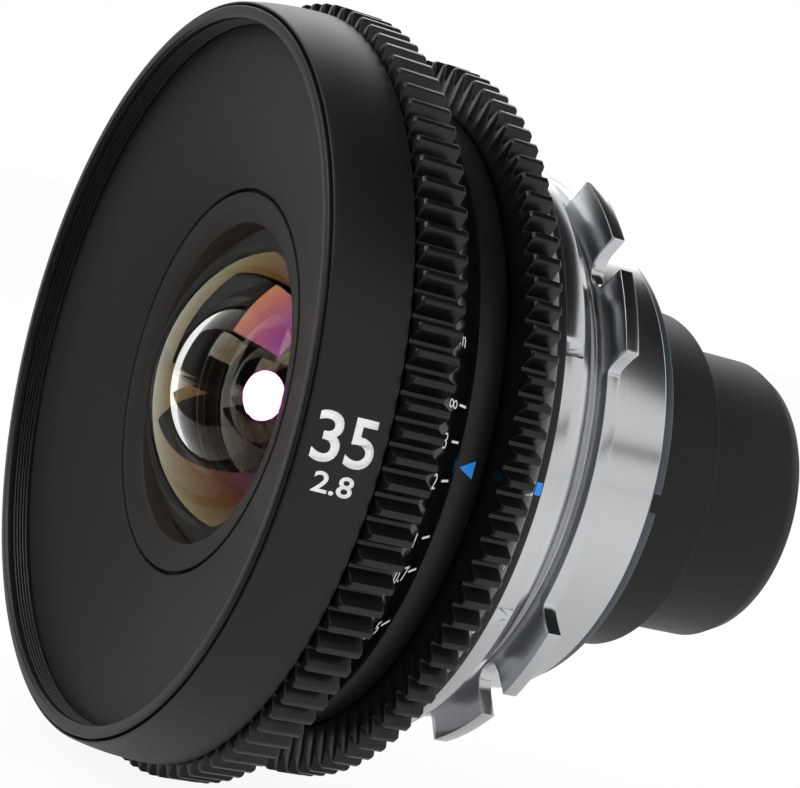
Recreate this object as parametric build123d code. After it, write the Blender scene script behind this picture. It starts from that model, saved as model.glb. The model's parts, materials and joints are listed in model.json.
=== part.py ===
from build123d import *
import os
from math import atan2, cos, degrees, hypot, pi, radians, sin, sqrt, tan

# A wide-angle cinema prime lens. Millimetres. The optical axis is Y, the glass looks
# towards -Y, and the origin is on the axis in the plane of the mount's rear seat.
# Stations count backwards from the front rim. Clock angles run from +X towards +Z.

# Fits and small common sizes
fit_gap = 0.03            # radial play of two fixed pieces, one inside the other
running_gap = 0.06        # radial play of a ring that turns or slides on another
side_gap = 0.15           # axial play beside a turning ring
groove_gap = 0.4          # open joint between two outside rings
edge_break = 0.15         # chamfer on turned edges
overrun = 1.0             # how far a cutter runs past what it cuts
full_turn = 360.0         # degrees

# Rear barrel and its glass
rear_glass_radius = 11.5
rear_tube_wall = 3.0
rear_tail_wall = 2.35
rear_tail_length = 11.8
rear_end_step = 0.85
rear_end_taper = 1.9
rear_shoulder = 1.0
rear_step_height = 3.15
rear_step_length = 10.8
rear_spigot_length = 5.8
rear_spigot_height = 0.6
rear_ledge_width = 1.3
rear_ledge_length = 1.2
rear_recess = 1.1
rear_ring_length = 1.6

# Mount
neck_wall = 2.2
mount_wall = 4.17         # between the neck and the locating barrel's outside
locating_length = 9.5
lock_groove_height = 2.6  # heights of the mount stand on the locating barrel
lock_groove_width = 1.2
lock_hollow_length = 3.8
lock_hollow_sag_share = 0.15
mount_collar_height = 7.8
mount_collar_fall = 0.4
mount_collar_length = 3.0
mount_gap_height = 4.6
tab_height = 7.0
tab_thickness = 1.6
flange_root = 1.0         # how deep the tabs' flange is rooted in the mount
tab_count = 4
tab_half_angle = 22.0     # at the foot of the tab's hollow ends
tab_ramp_angle = 2.4
tab_ramp_rise_share = 0.25   # of the tab's height, reached half way up an end
tab_clock = 45.0
tab_notch_width = 3.8
tab_notch_depth = 4.0
shim_thickness = 0.2
dowel_radius = 1.0
dowel_clock = 90.0
dowel_depth = 1.4
lock_ring_drop = 1.0
lock_ring_length = 1.5
spanner_slot_width = 2.0
spanner_slot_depth = 0.9

# Main barrel and the fixed index rings on it
barrel_room = 9.2         # between the neck and the barrel's bore
barrel_wall = 2.5
barrel_flange_height = 3.75
barrel_flange_length = 3.3
barrel_front_web = 1.5
barrel_rear_web = 1.5
neck_ledge_width = 1.7
neck_ledge_length = 1.0
index_ring_gap = 0.45
index_ring_width = 3.25
index_ring_wall = 0.7
iris_index_width = 1.1
iris_index_wall = 1.7

# Gears of 0.8 mm module
gear_module = 0.8
gear_pressure_angle = 20.0
gear_root_depth_share = 1.25
tooth_break_share = 1 / 3   # chamfer on the teeth's ends, as a share of the module
focus_gear_wall = 4.81    # from the sleeve to the tooth roots
focus_gear_width = 4.9
focus_band_drop = 0.3
focus_band_width = 5.3
focus_band_rear_wall = 0.16
focus_band_edge = 0.2
iris_gear_wall = 3.64
iris_gear_width = 3.25
iris_band_drop = 0.2
iris_band_rear_wall = 2.14
iris_band_width = 1.85
iris_band_edge = 0.15

# Focus drive
sleeve_wall = 1.25
focus_marks_ahead = 9.2     # degrees from the index to the infinity mark
focus_marks_behind = 26.6   # degrees from the index to the closest mark
focus_travel = 1.2
follower_radius = 1.25
follower_count = 3
follower_clock = 30.0
follower_station_share = 0.52   # of the sleeve's length
focus_rim_front = 2.2       # of the focus cell's rim, ahead of its follower pins
focus_rim_rear = 6.0        # and behind them
focus_rim_wall = 2.4
focus_hub_wall = 1.9
focus_hub_length = 4.3
focus_web = 1.1
focus_glass_radius = 10.4
focus_keeper_share = 0.2    # of the hub's length
band_screw_radius = 0.8
band_screw_clocks = (120.0, 180.0, 240.0)
band_screw_share = 0.3      # of the band's width

# Iris
iris_throw = 60.0
blade_count = 5
blade_swing = 23.5
blade_thickness = 0.15
blade_pitch = 0.25
blade_reveal = 0.4          # of the open blades, inside the housing's opening
blade_width = 7.0
blade_start_clock = -8.0
blade_end_clock = 128.0
blade_pivot_offset = 1.0
blade_pin_radius = 0.45
blade_lever = 5.0
blade_lever_clock = -60.0
blade_ear_radius = 1.1
iris_opening_radius = 7.6
housing_thickness = 1.45
pivot_depth_share = 0.667   # of the housing's thickness
actuator_thickness = 1.2
actuator_rim_length = 2.4
actuator_rim_width = 7.94
actuator_land = 2.7
iris_keeper_width = 0.6
iris_keeper_wall = 4.5
drive_pin_radius = 0.9
drive_pin_clock = 200.0
drive_socket_web = 1.0      # from the actuator's bore to the pin's socket

# Front glass, second glass and their cell
front_glass_radius = 18.6
front_glass_edge = 2.0
front_glass_depth = 2.7     # of the glass behind the bezel's front edge
front_glass_bulge = 4.6     # curve radius over the rim radius
front_hollow_bulge = 0.9
second_glass_radius = 13.9
second_glass_edge = 2.0
second_glass_curve = 30.0
second_hollow_width = 5.3
second_hollow_bulge = 5.4
second_ring_length = 1.0
second_ring_reveal = 1.0    # of the rear hollow's edge, inside the ring
cell_wall = 1.6
cell_flange_width = 2.8
cell_flange_thickness = 1.15
cell_ledge_width = 1.9
cell_ledge_length = 1.1

# Front rim, shell, plate and bezel
front_shell_wall = 1.75     # over the barrel's flange
shell_setback = 0.35
shell_length = 8.25
shell_flare = 1.15
shell_bow_share = 0.25      # of the flare, reached half way along
shell_ledge_width = 0.85
shell_ledge_length = 1.2
rim_length = 3.0
rim_lip_length = 1.0
rim_lip_drop = 0.45
rim_thread_drop = 1.1
rim_wall = 0.7
rim_face_chamfer = 0.3
rim_groove_width = 0.25
rim_groove_depth = 0.14
rim_groove_shares = (0.42, 0.6, 0.78)
plate_thickness = 0.9
plate_land_width = 1.0
plate_gap = 0.4
plate_depth = 4.0
bezel_inner_drop = 0.9
bezel_outer_width = 2.25
bezel_depth = 1.0
bezel_thickness = 0.85

# Middle cell, in the neck
middle_glass_radius = 12.0
lens_ledge = 1.0
middle_ring_length = 1.2

# Glass of the inner groups. Each row holds the front edge's place and the edge's
# thickness as shares of the group's length, then the front and rear radii of
# curvature as shares of the glass radius. A negative curve is hollow.
focus_glass_shares = ((0.0, 0.48, -9.0, -5.5), (0.56, 0.24, 5.5, 5.0))
middle_glass_shares = ((0.0, 0.18, 2.6, 3.4), (0.25, 0.33, -3.3, -2.7), (0.77, 0.23, 2.6, 3.0))
rear_glass_shares = ((0.0, 0.13, 2.4, 2.6), (0.2, 0.14, -2.2, 3.0), (0.52, 0.17, 2.1, 2.3),
                     (0.77, 0.15, -3.4, 2.2))
glass_land_share = 0.12    # flat rim of an inner glass, as a share of its radius

# Radii, from the rear glass outwards
rear_bore_radius = rear_glass_radius + rear_tube_wall
rear_ledge_radius = rear_bore_radius - rear_ledge_width
rear_tail_radius = rear_bore_radius + rear_tail_wall
rear_end_radius = rear_tail_radius - rear_end_step
rear_step_radius = rear_tail_radius + rear_step_height
neck_bore_radius = rear_step_radius + rear_spigot_height
neck_radius = neck_bore_radius + neck_wall
neck_ledge_radius = neck_bore_radius - neck_ledge_width
locating_radius = neck_radius + fit_gap + mount_wall
lock_ring_radius = locating_radius - lock_ring_drop
lock_groove_radius = locating_radius + lock_groove_height
mount_gap_radius = locating_radius + mount_gap_height
tab_radius = locating_radius + tab_height
tab_notch_bottom = tab_radius - tab_notch_depth
mount_collar_radius = locating_radius + mount_collar_height
mount_collar_rear_radius = mount_collar_radius - mount_collar_fall
barrel_bore_radius = neck_radius + barrel_room
barrel_radius = barrel_bore_radius + barrel_wall
index_ring_radius = barrel_radius + index_ring_wall
iris_index_radius = barrel_radius + iris_index_wall
sleeve_bore = barrel_radius + running_gap
sleeve_radius = sleeve_bore + sleeve_wall
focus_ring_bore = sleeve_radius + fit_gap
iris_ring_bore = barrel_radius + running_gap
focus_teeth = round(2 * (focus_ring_bore + focus_gear_wall) / gear_module + 2 * gear_root_depth_share)
iris_teeth = round(2 * (iris_ring_bore + iris_gear_wall) / gear_module + 2 * gear_root_depth_share)
focus_root_radius = gear_module * (focus_teeth / 2 - gear_root_depth_share)
iris_root_radius = gear_module * (iris_teeth / 2 - gear_root_depth_share)
focus_band_front_radius = focus_root_radius - focus_band_drop
focus_band_rear_radius = focus_ring_bore + focus_band_rear_wall
iris_band_front_radius = iris_root_radius - iris_band_drop
iris_band_rear_radius = iris_ring_bore + iris_band_rear_wall
barrel_flange_radius = barrel_radius + barrel_flange_height
front_radius = barrel_flange_radius + front_shell_wall
shell_ledge_radius = barrel_flange_radius - shell_ledge_width
rim_lip_radius = front_radius - rim_lip_drop
rim_thread_radius = front_radius - rim_thread_drop
rim_bore_radius = rim_thread_radius - rim_wall
blade_inner_radius = iris_opening_radius - blade_reveal
blade_outer_radius = blade_inner_radius + blade_width
blade_pivot_radius = blade_outer_radius + blade_pivot_offset
actuator_bore_radius = blade_pivot_radius - actuator_land
actuator_rim_radius = barrel_bore_radius - running_gap - actuator_rim_width
bezel_inner_radius = front_glass_radius - bezel_inner_drop
bezel_outer_radius = front_glass_radius + bezel_outer_width
plate_inner_radius = bezel_outer_radius + plate_gap
cell_radius = front_glass_radius + cell_wall
cell_flange_radius = cell_radius + cell_flange_width
cell_ledge_radius = second_glass_radius - cell_ledge_width
front_glass_curve = front_glass_radius + front_glass_bulge
front_glass_hollow_radius = cell_ledge_radius - rim_lip_drop
front_glass_hollow_curve = front_glass_hollow_radius + front_hollow_bulge
second_glass_hollow_radius = second_glass_radius - second_hollow_width
second_glass_hollow_curve = second_glass_hollow_radius + second_hollow_bulge

# Stations from the front rim backwards
shell_end = shell_setback + shell_length
focus_gear_start = shell_end + groove_gap
focus_gear_end = focus_gear_start + focus_gear_width
focus_band_end = focus_gear_end + focus_band_width
sleeve_end = focus_band_end
index_start = sleeve_end + index_ring_gap
index_end = index_start + index_ring_width
iris_gear_start = index_end + side_gap
iris_gear_end = iris_gear_start + iris_gear_width
iris_band_end = iris_gear_end + iris_band_width
iris_index_start = iris_band_end + side_gap
iris_index_end = iris_index_start + iris_index_width
web_start = iris_index_end - barrel_rear_web
mount_start = iris_index_end + shim_thickness
collar_end = mount_start + mount_collar_length
hollow_end = collar_end + lock_hollow_length
tab_front = hollow_end + lock_groove_width
seat = tab_front + tab_thickness
locating_end = seat + locating_length
lock_ring_end = locating_end + lock_ring_length
rear_step_end = lock_ring_end + rear_step_length
rear_tail_start = rear_step_end + rear_shoulder
rear_tail_end = rear_tail_start + rear_tail_length
rear_end = rear_tail_end + rear_end_taper

parts = {}


def at(radius, station):
    """A point of a turned outline."""
    return (radius, station - seat)


def turned(points):
    """A solid turned about the axis from (radius, station) corners."""
    return revolve(make_face(Polyline(*[at(*point) for point in points], close=True)), axis=Axis.Y)


def ring(inner, outer, start, end, chamfer=0.0):
    """A plain ring with its outer corners broken."""
    return turned([(inner, start), (outer - chamfer, start), (outer, start + chamfer),
                   (outer, end - chamfer), (outer - chamfer, end), (inner, end)]
                  if chamfer else [(inner, start), (outer, start), (outer, end), (inner, end)])


def clocked(solid, angle):
    """The solid turned about the axis to a clock angle."""
    return solid.rotate(Axis.Y, -angle)


def around(solid, count, first=0.0):
    """Copies of one solid spaced evenly about the axis."""
    return [clocked(solid, first + full_turn * k / count) for k in range(count)]


def cut(solid, tools):
    """The solid less each tool."""
    for tool in tools:
        solid = solid - tool
    return solid


def radial_pin(radius, inner, outer, station):
    """A round pin that stands out from the axis along clock angle 0."""
    pin = Cylinder(radius, outer - inner, align=(Align.CENTER, Align.CENTER, Align.MIN))
    return Pos(inner, station - seat, 0) * Rot(0, 90, 0) * pin


def axial_pin(radius, start, end, at_radius, clock):
    """A round pin along the axis at a radius and a clock angle."""
    pin = Cylinder(radius, end - start, align=(Align.CENTER, Align.CENTER, Align.MIN))
    place = Pos(at_radius * cos(radians(clock)), start - seat, at_radius * sin(radians(clock)))
    return place * Rot(-90, 0, 0) * pin


def slab(length_x, width_z, start, end, from_x):
    """A box along clock angle 0 between two stations, from one X to another."""
    box = Box(length_x, end - start, width_z, align=(Align.MIN, Align.MIN, Align.CENTER))
    return Pos(from_x, start - seat, 0) * box


def plate_between(face, start, end):
    """A flat outline, drawn as (x, z), made a solid between two stations."""
    solid = extrude(face, end - start)
    return Pos(0, start - seat, 0) * Rot(-90, 0, 0) * mirror(solid, about=Plane.XZ)


def polar(radius, clock):
    """A point of a flat outline."""
    return (radius * cos(radians(clock)), radius * sin(radians(clock)))


def gear_ring(teeth, start, end, bore):
    """A spur gear ring with straight flanks, its tooth ends chamfered."""
    pitch_radius = gear_module * teeth / 2
    tip = pitch_radius + gear_module
    root = pitch_radius - gear_root_depth_share * gear_module
    lean = tan(radians(gear_pressure_angle))
    half_pitch_thickness = pi * gear_module / 4
    half_tip = half_pitch_thickness - gear_module * lean
    half_root = half_pitch_thickness + gear_root_depth_share * gear_module * lean
    corners = []
    for k in range(teeth):
        middle = full_turn * k / teeth
        for radius, half in ((root, -half_root), (tip, -half_tip), (tip, half_tip), (root, half_root)):
            corners.append(polar(radius, middle + degrees(half / radius)))
    blank = plate_between(make_face(Polyline(*corners, close=True)), start, end)
    break_out = gear_module * tooth_break_share
    form = turned([(bore, start), (tip - break_out, start), (tip, start + break_out),
                   (tip, end - break_out), (tip - break_out, end), (bore, end)])
    return blank & form


def sag(curve, radius):
    """Depth of a spherical surface at a radius."""
    return abs(curve) - sqrt(curve * curve - radius * radius)


def glass(rim, front_edge, rear_edge, front_curve, rear_curve, front_clear, rear_clear):
    """A lens element. A positive curve stands out of its face, a negative one is hollow."""
    front = bowl(front_edge, front_curve, front_clear, -1)
    rear = bowl(rear_edge, rear_curve, rear_clear, 1)
    outline = [ThreePointArc(*front), Polyline(front[2], at(rim, front_edge), at(rim, rear_edge), rear[2]),
               ThreePointArc(*rear), Line(rear[0], front[0])]
    return revolve(make_face(Curve(outline)), axis=Axis.Y)


def bowl(edge, curve, clear, away):
    """Apex, middle and edge points of one face, which looks towards the side called away."""
    bulge = away * (1 if curve > 0 else -1)
    apex = edge + bulge * sag(curve, clear)
    return (at(0, apex), at(clear / 2, apex - bulge * sag(curve, clear / 2)), at(clear, edge))


def glass_row(names, shares, start, length, rim):
    """Elements in a row along a bore, and the stations of their edges."""
    clear = rim * (1 - glass_land_share)
    edges = []
    for name, (place, thickness, front_curve, rear_curve) in zip(names, shares):
        front_edge = start + place * length
        rear_edge = front_edge + thickness * length
        parts[name] = glass(rim, front_edge, rear_edge, front_curve * rim, rear_curve * rim, clear, clear)
        edges.append((front_edge, rear_edge))
    return edges


# Front rim, shell, plate and bezel
def front_pieces():
    rim = turned([(rim_bore_radius, rim_face_chamfer), (rim_bore_radius + rim_face_chamfer, 0),
                  (rim_lip_radius - edge_break, 0), (rim_lip_radius, edge_break),
                  (rim_lip_radius, rim_lip_length), (rim_thread_radius, rim_lip_length),
                  (rim_thread_radius, rim_length), (rim_bore_radius, rim_length)])
    grooves = []
    for share in rim_groove_shares:
        start = share * rim_length
        grooves.append(ring(rim_bore_radius - overrun, rim_bore_radius + rim_groove_depth,
                            start, start + rim_groove_width))
    parts["front_rim_ring"] = cut(rim, grooves)

    lip_bore = rim_lip_radius + (front_radius - rim_lip_radius) / 2
    thread_bore = rim_thread_radius + fit_gap
    ledge_start = rim_length + plate_thickness
    ledge_end = ledge_start + shell_ledge_length
    flange_bore = barrel_flange_radius + fit_gap
    middle = (shell_setback + shell_end) / 2
    outside = ThreePointArc(at(front_radius, shell_setback),
                            at(front_radius + shell_bow_share * shell_flare, middle),
                            at(front_radius + shell_flare, shell_end))
    inside = Polyline(at(front_radius + shell_flare, shell_end), at(flange_bore, shell_end),
                      at(flange_bore, ledge_end), at(shell_ledge_radius, ledge_end),
                      at(shell_ledge_radius, ledge_start), at(thread_bore, ledge_start),
                      at(thread_bore, rim_lip_length + edge_break),
                      at(lip_bore, rim_lip_length + edge_break), at(lip_bore, shell_setback),
                      at(front_radius, shell_setback))
    parts["front_shell"] = revolve(make_face(Curve([outside, inside])), axis=Axis.Y)

    land_inner = rim_bore_radius - plate_land_width
    plate_end = rim_length + plate_depth
    parts["front_plate"] = turned([(rim_thread_radius, rim_length), (land_inner, rim_length),
                                   (plate_inner_radius, plate_end),
                                   (plate_inner_radius, plate_end + plate_thickness),
                                   (land_inner - plate_thickness / 2, rim_length + plate_thickness),
                                   (rim_thread_radius, rim_length + plate_thickness)])
    tube_end = plate_end + bezel_depth + front_glass_depth - edge_break
    parts["front_retaining_ring"] = turned([
        (bezel_outer_radius, plate_end), (bezel_outer_radius, plate_end + bezel_thickness),
        (front_glass_radius, plate_end + bezel_thickness), (front_glass_radius, tube_end),
        (bezel_inner_radius, tube_end), (bezel_inner_radius, plate_end + bezel_depth)])
    return plate_end


# Front glass, second glass and the cell that holds them
def front_group(plate_end):
    cell_start = plate_end + plate_thickness + edge_break / 2
    web_front = cell_start + cell_flange_thickness
    contact = plate_end + bezel_depth + front_glass_depth
    rise = (sag(front_glass_curve, front_glass_radius - edge_break)
            - sag(front_glass_curve, bezel_inner_radius))
    glass_front = contact + rise
    glass_rear = glass_front + front_glass_edge
    parts["front_element"] = glass(front_glass_radius, glass_front, glass_rear, front_glass_curve,
                                   -front_glass_hollow_curve, front_glass_radius - edge_break,
                                   front_glass_hollow_radius)
    ledge_end = glass_rear + cell_ledge_length
    second_front = ledge_end
    second_rear = second_front + second_glass_edge
    parts["second_element"] = glass(second_glass_radius, second_front, second_rear, second_glass_curve,
                                    -second_glass_hollow_curve, cell_ledge_radius - edge_break,
                                    second_glass_hollow_radius)
    cell_end = second_rear + second_ring_length
    seat_bore = front_glass_radius + fit_gap
    second_bore = second_glass_radius + fit_gap
    parts["front_cell"] = turned([
        (seat_bore, cell_start), (cell_flange_radius, cell_start), (cell_flange_radius, web_front),
        (cell_radius, web_front), (cell_radius, cell_end), (second_bore, cell_end),
        (second_bore, ledge_end), (cell_ledge_radius, ledge_end), (cell_ledge_radius, glass_rear),
        (seat_bore, glass_rear)])
    ring_body = ring(second_glass_hollow_radius + second_ring_reveal, second_glass_radius,
                     second_rear, cell_end)
    parts["second_retaining_ring"] = cut(ring_body, spanner_slots(second_glass_radius, cell_end))
    return web_front


def spanner_slots(outer, end):
    """Two notches for a pin spanner in the rear face of a threaded ring."""
    reach = outer + overrun
    bar = Box(2 * reach, spanner_slot_depth + overrun, spanner_slot_width,
              align=(Align.CENTER, Align.MIN, Align.CENTER))
    return [Pos(0, end - spanner_slot_depth - seat, 0) * bar]


# The fixed tube that everything hangs on
def main_barrel(web_front):
    flange_start = shell_end - barrel_flange_length
    web_end = web_front + barrel_front_web
    cell_bore = cell_radius + fit_gap
    ledge_start = middle_end()
    ledge_end = ledge_start + neck_ledge_length
    body = turned([
        (barrel_flange_radius, flange_start), (barrel_flange_radius, shell_end),
        (barrel_radius, shell_end), (barrel_radius, iris_index_end), (neck_radius, iris_index_end),
        (neck_radius, lock_ring_end - side_gap), (neck_bore_radius, lock_ring_end - side_gap),
        (neck_bore_radius, ledge_end), (neck_ledge_radius, ledge_end), (neck_ledge_radius, ledge_start),
        (neck_bore_radius, ledge_start), (neck_bore_radius, web_start), (barrel_bore_radius, web_start),
        (barrel_bore_radius, web_end), (cell_bore, web_end), (cell_bore, web_front),
        (barrel_bore_radius + edge_break, web_front), (barrel_bore_radius + edge_break, flange_start)])
    slot_half = follower_radius + running_gap
    low = follower_station() - focus_forward() - slot_half - side_gap
    high = follower_station() + focus_backward() + slot_half + side_gap
    key_slot = slab(barrel_radius - barrel_bore_radius + 2 * overrun, 2 * slot_half, low, high,
                    barrel_bore_radius - overrun)
    body = cut(body, around(key_slot, follower_count, follower_clock))
    body = body - drive_slot()
    hole = axial_pin(dowel_radius, web_start - overrun, iris_index_end + overrun,
                     dowel_place(), dowel_clock)
    parts["main_barrel"] = body - hole


def follower_station():
    return focus_gear_start + follower_station_share * (sleeve_end - focus_gear_start)


def focus_ratio():
    return focus_travel / (focus_marks_ahead + focus_marks_behind)


def focus_forward():
    return focus_ratio() * focus_marks_behind


def focus_backward():
    return focus_ratio() * focus_marks_ahead


def dowel_place():
    return (neck_radius + barrel_bore_radius) / 2


def drive_slot():
    """The window in the barrel that the iris drive pin travels in."""
    half = drive_pin_radius + side_gap
    play = degrees((drive_pin_radius + side_gap) / barrel_bore_radius)
    first, last = drive_pin_clock - play, drive_pin_clock + iris_throw + play
    station = drive_pin_station()
    band = ring(barrel_bore_radius - overrun, barrel_radius + overrun, station - half, station + half)
    wedge_reach = 2 * (barrel_radius + overrun)
    middle = (first + last) / 2
    wedge = make_face(Polyline((0, 0), polar(wedge_reach, first), polar(wedge_reach, middle),
                               polar(wedge_reach, last), close=True))
    return band & plate_between(wedge, station - half - overrun, station + half + overrun)


def drive_pin_station():
    return actuator_start() + actuator_rim_length / 2


def actuator_start():
    return blade_station(0) - blade_pitch / 2 - actuator_thickness


def blade_station(level):
    first = web_start - housing_thickness - blade_pitch * blade_count
    return first + level * blade_pitch


def middle_start():
    return web_start + middle_ring_length


def middle_end():
    return locating_end - rear_spigot_length + lock_ring_length - neck_ledge_length


# Rings that sit on the barrel
def outside_rings():
    on_barrel = barrel_radius + fit_gap
    parts["focus_index_ring"] = ring(on_barrel, index_ring_radius, index_start, index_end,
                                     edge_break)
    parts["iris_index_ring"] = ring(on_barrel, iris_index_radius, iris_index_start, iris_index_end,
                                    edge_break)


# Focus ring, cam sleeve and the cell that they drive
def focus_drive():
    sleeve = ring(sleeve_bore, sleeve_radius, focus_gear_start, sleeve_end)
    width = 2 * (follower_radius + running_gap)
    slot = cam_slot(follower_clock, sleeve_bore - overrun, sleeve_radius + overrun, width)
    for tool in slot:
        sleeve = cut(sleeve, around(tool, follower_count))
    band = turned([(focus_ring_bore, focus_gear_end), (focus_band_front_radius, focus_gear_end),
                   (focus_band_rear_radius + focus_band_edge, focus_band_end - focus_band_edge),
                   (focus_band_rear_radius, focus_band_end), (focus_ring_bore, focus_band_end)])
    station = focus_gear_end + band_screw_share * focus_band_width
    slope = (focus_band_front_radius - focus_band_rear_radius) / focus_band_width
    screw_top = focus_band_front_radius - slope * (station + band_screw_radius - focus_gear_end)
    hole = radial_pin(band_screw_radius, sleeve_bore - overrun, focus_band_front_radius + overrun, station)
    holes = [clocked(hole, clock) for clock in band_screw_clocks]
    parts["focus_gear_ring"] = gear_ring(focus_teeth, focus_gear_start, focus_gear_end, focus_ring_bore)
    parts["focus_scale_band"] = cut(band, holes)
    parts["focus_cam_sleeve"] = cut(sleeve, holes)
    screw = radial_pin(band_screw_radius - fit_gap, sleeve_bore + running_gap, screw_top, station)
    socket = radial_pin(band_screw_radius / 2, screw_top - band_screw_radius, screw_top + overrun, station)
    screw = screw - socket
    parts["focus_band_screws"] = Compound(children=[clocked(screw, clock) for clock in band_screw_clocks])


def cam_slot(clock, inner, outer, width):
    """Cutters of one helical slot: a bar along the helix and its two round ends."""
    low, high = -focus_marks_behind, focus_marks_ahead
    rise = focus_ratio()
    middle = (inner + outer) / 2
    helix = Helix(rise * full_turn, rise * (high - low), middle, direction=(0, 1, 0), lefthand=True)
    begin = helix @ 0
    outward = Vector(begin.X, 0, begin.Z)
    section = Plane(origin=begin, x_dir=outward, z_dir=helix % 0) * Rectangle(outer - inner, width)
    bar = sweep(section, path=helix, is_frenet=True)
    begin_clock = degrees(atan2(begin.Z, begin.X))
    start = follower_station() + rise * low
    bar = clocked(Pos(0, start - seat - begin.Y, 0) * bar, clock + low - begin_clock)
    ends = [clocked(radial_pin(width / 2, inner, outer, follower_station() + rise * angle), clock + angle)
            for angle in (low, high)]
    return [bar] + ends


def focus_group():
    rim_outer = barrel_bore_radius - running_gap
    rim_inner = rim_outer - focus_rim_wall
    station = follower_station()
    rim_start = station - focus_rim_front
    rim_end = station + focus_rim_rear
    hub_bore = focus_glass_radius + fit_gap
    hub_radius = hub_bore + focus_hub_wall
    hub_start = rim_end - focus_web
    hub_end = hub_start + focus_hub_length
    cell = turned([(rim_inner, rim_start), (rim_outer, rim_start), (rim_outer, rim_end),
                   (hub_radius, rim_end), (hub_radius, hub_end),
                   (hub_bore, hub_end), (hub_bore, hub_start), (rim_inner, hub_start)])
    hole = radial_pin(follower_radius - fit_gap, rim_inner - overrun, rim_outer + overrun, station)
    parts["focus_cell"] = cut(cell, around(hole, follower_count, follower_clock))
    pin_end = sleeve_radius - side_gap
    pin = radial_pin(follower_radius, rim_outer + running_gap, pin_end, station)
    pin = pin + radial_pin(follower_radius - 2 * fit_gap, rim_inner, pin_end, station)
    parts["follower_pins"] = Compound(children=around(pin, follower_count, follower_clock))
    names = ("focus_front_element", "focus_rear_element")
    keeper_length = focus_hub_length * focus_keeper_share
    length = focus_hub_length - keeper_length
    edges = glass_row(names, focus_glass_shares, hub_start, length, focus_glass_radius)
    clear = focus_glass_radius * (1 - glass_land_share)
    parts["focus_spacer"] = ring(clear, focus_glass_radius, edges[0][1], edges[1][0])
    keeper = ring(clear, focus_glass_radius, edges[1][1], hub_end)
    parts["focus_retaining_ring"] = cut(keeper, spanner_slots(focus_glass_radius, hub_end))


# Iris ring, its drive and the blades
def iris_drive():
    gear = gear_ring(iris_teeth, iris_gear_start, iris_gear_end, iris_ring_bore)
    parts["iris_scale_band"] = turned([
        (iris_ring_bore, iris_gear_end), (iris_band_front_radius, iris_gear_end),
        (iris_band_rear_radius + iris_band_edge, iris_band_end - iris_band_edge),
        (iris_band_rear_radius, iris_band_end), (iris_ring_bore, iris_band_end)])
    station = drive_pin_station()
    pin_end = (iris_ring_bore + iris_band_rear_radius) / 2
    hole = clocked(radial_pin(drive_pin_radius + fit_gap, barrel_radius, pin_end + edge_break, station),
                   drive_pin_clock)
    parts["iris_gear_ring"] = gear - hole
    start = actuator_start()
    rim_outer = barrel_bore_radius - running_gap
    body = turned([(actuator_bore_radius, start), (rim_outer, start),
                   (rim_outer, start + actuator_rim_length),
                   (actuator_rim_radius, start + actuator_rim_length),
                   (actuator_rim_radius, start + actuator_thickness),
                   (actuator_bore_radius, start + actuator_thickness)])
    slot = plate_between(blade_slot(), start - overrun, start + actuator_thickness + overrun)
    body = cut(body, around(slot, blade_count))
    pin_start = actuator_rim_radius + drive_socket_web
    socket = clocked(radial_pin(drive_pin_radius + fit_gap, pin_start, rim_outer + overrun, station),
                     drive_pin_clock)
    parts["iris_actuator_ring"] = body - socket
    pin = radial_pin(drive_pin_radius, pin_start + edge_break, pin_end, station)
    parts["iris_drive_pin"] = clocked(pin, drive_pin_clock)
    keeper_start = start - side_gap - iris_keeper_width
    parts["iris_keeper_ring"] = ring(barrel_bore_radius - iris_keeper_wall, barrel_bore_radius - fit_gap,
                                     keeper_start, keeper_start + iris_keeper_width)
    housing_start = web_start - housing_thickness
    housing = ring(iris_opening_radius, barrel_bore_radius - fit_gap, housing_start, web_start)
    holes = [axial_pin(blade_pin_radius + running_gap / 2, housing_start - overrun, web_start - edge_break,
                       blade_pivot_radius, full_turn * k / blade_count) for k in range(blade_count)]
    parts["iris_housing"] = cut(housing, holes)


def drive_point(share):
    """Where a blade's drive pin is when the blade has swung by a share of its travel."""
    turn = blade_lever_clock + share * blade_swing
    x = blade_pivot_radius + blade_lever * cos(radians(turn))
    z = blade_lever * sin(radians(turn))
    return hypot(x, z), degrees(atan2(z, x))


def blade_slot():
    """The cam slot of one blade in the actuator ring, at rest."""
    steps = 8
    middle = []
    for k in range(steps + 1):
        radius, clock = drive_point(k / steps)
        middle.append(Vector(*polar(radius, clock - iris_throw * k / steps)))
    half = blade_pin_radius + running_gap
    centre = Spline(*middle)
    left, right = [], []
    for k in range(steps + 1):
        point, along = centre @ (k / steps), centre % (k / steps)
        side = Vector(-along.Y, along.X) * half
        left.append(point + side)
        right.append(point - side)
    end_tip = centre @ 1 + (centre % 1) * half
    start_tip = centre @ 0 - (centre % 0) * half
    outline = [Spline(*left), ThreePointArc(left[-1], end_tip, right[-1]),
               Spline(*reversed(right)), ThreePointArc(right[0], start_tip, left[0])]
    return make_face(Curve(outline))


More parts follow.
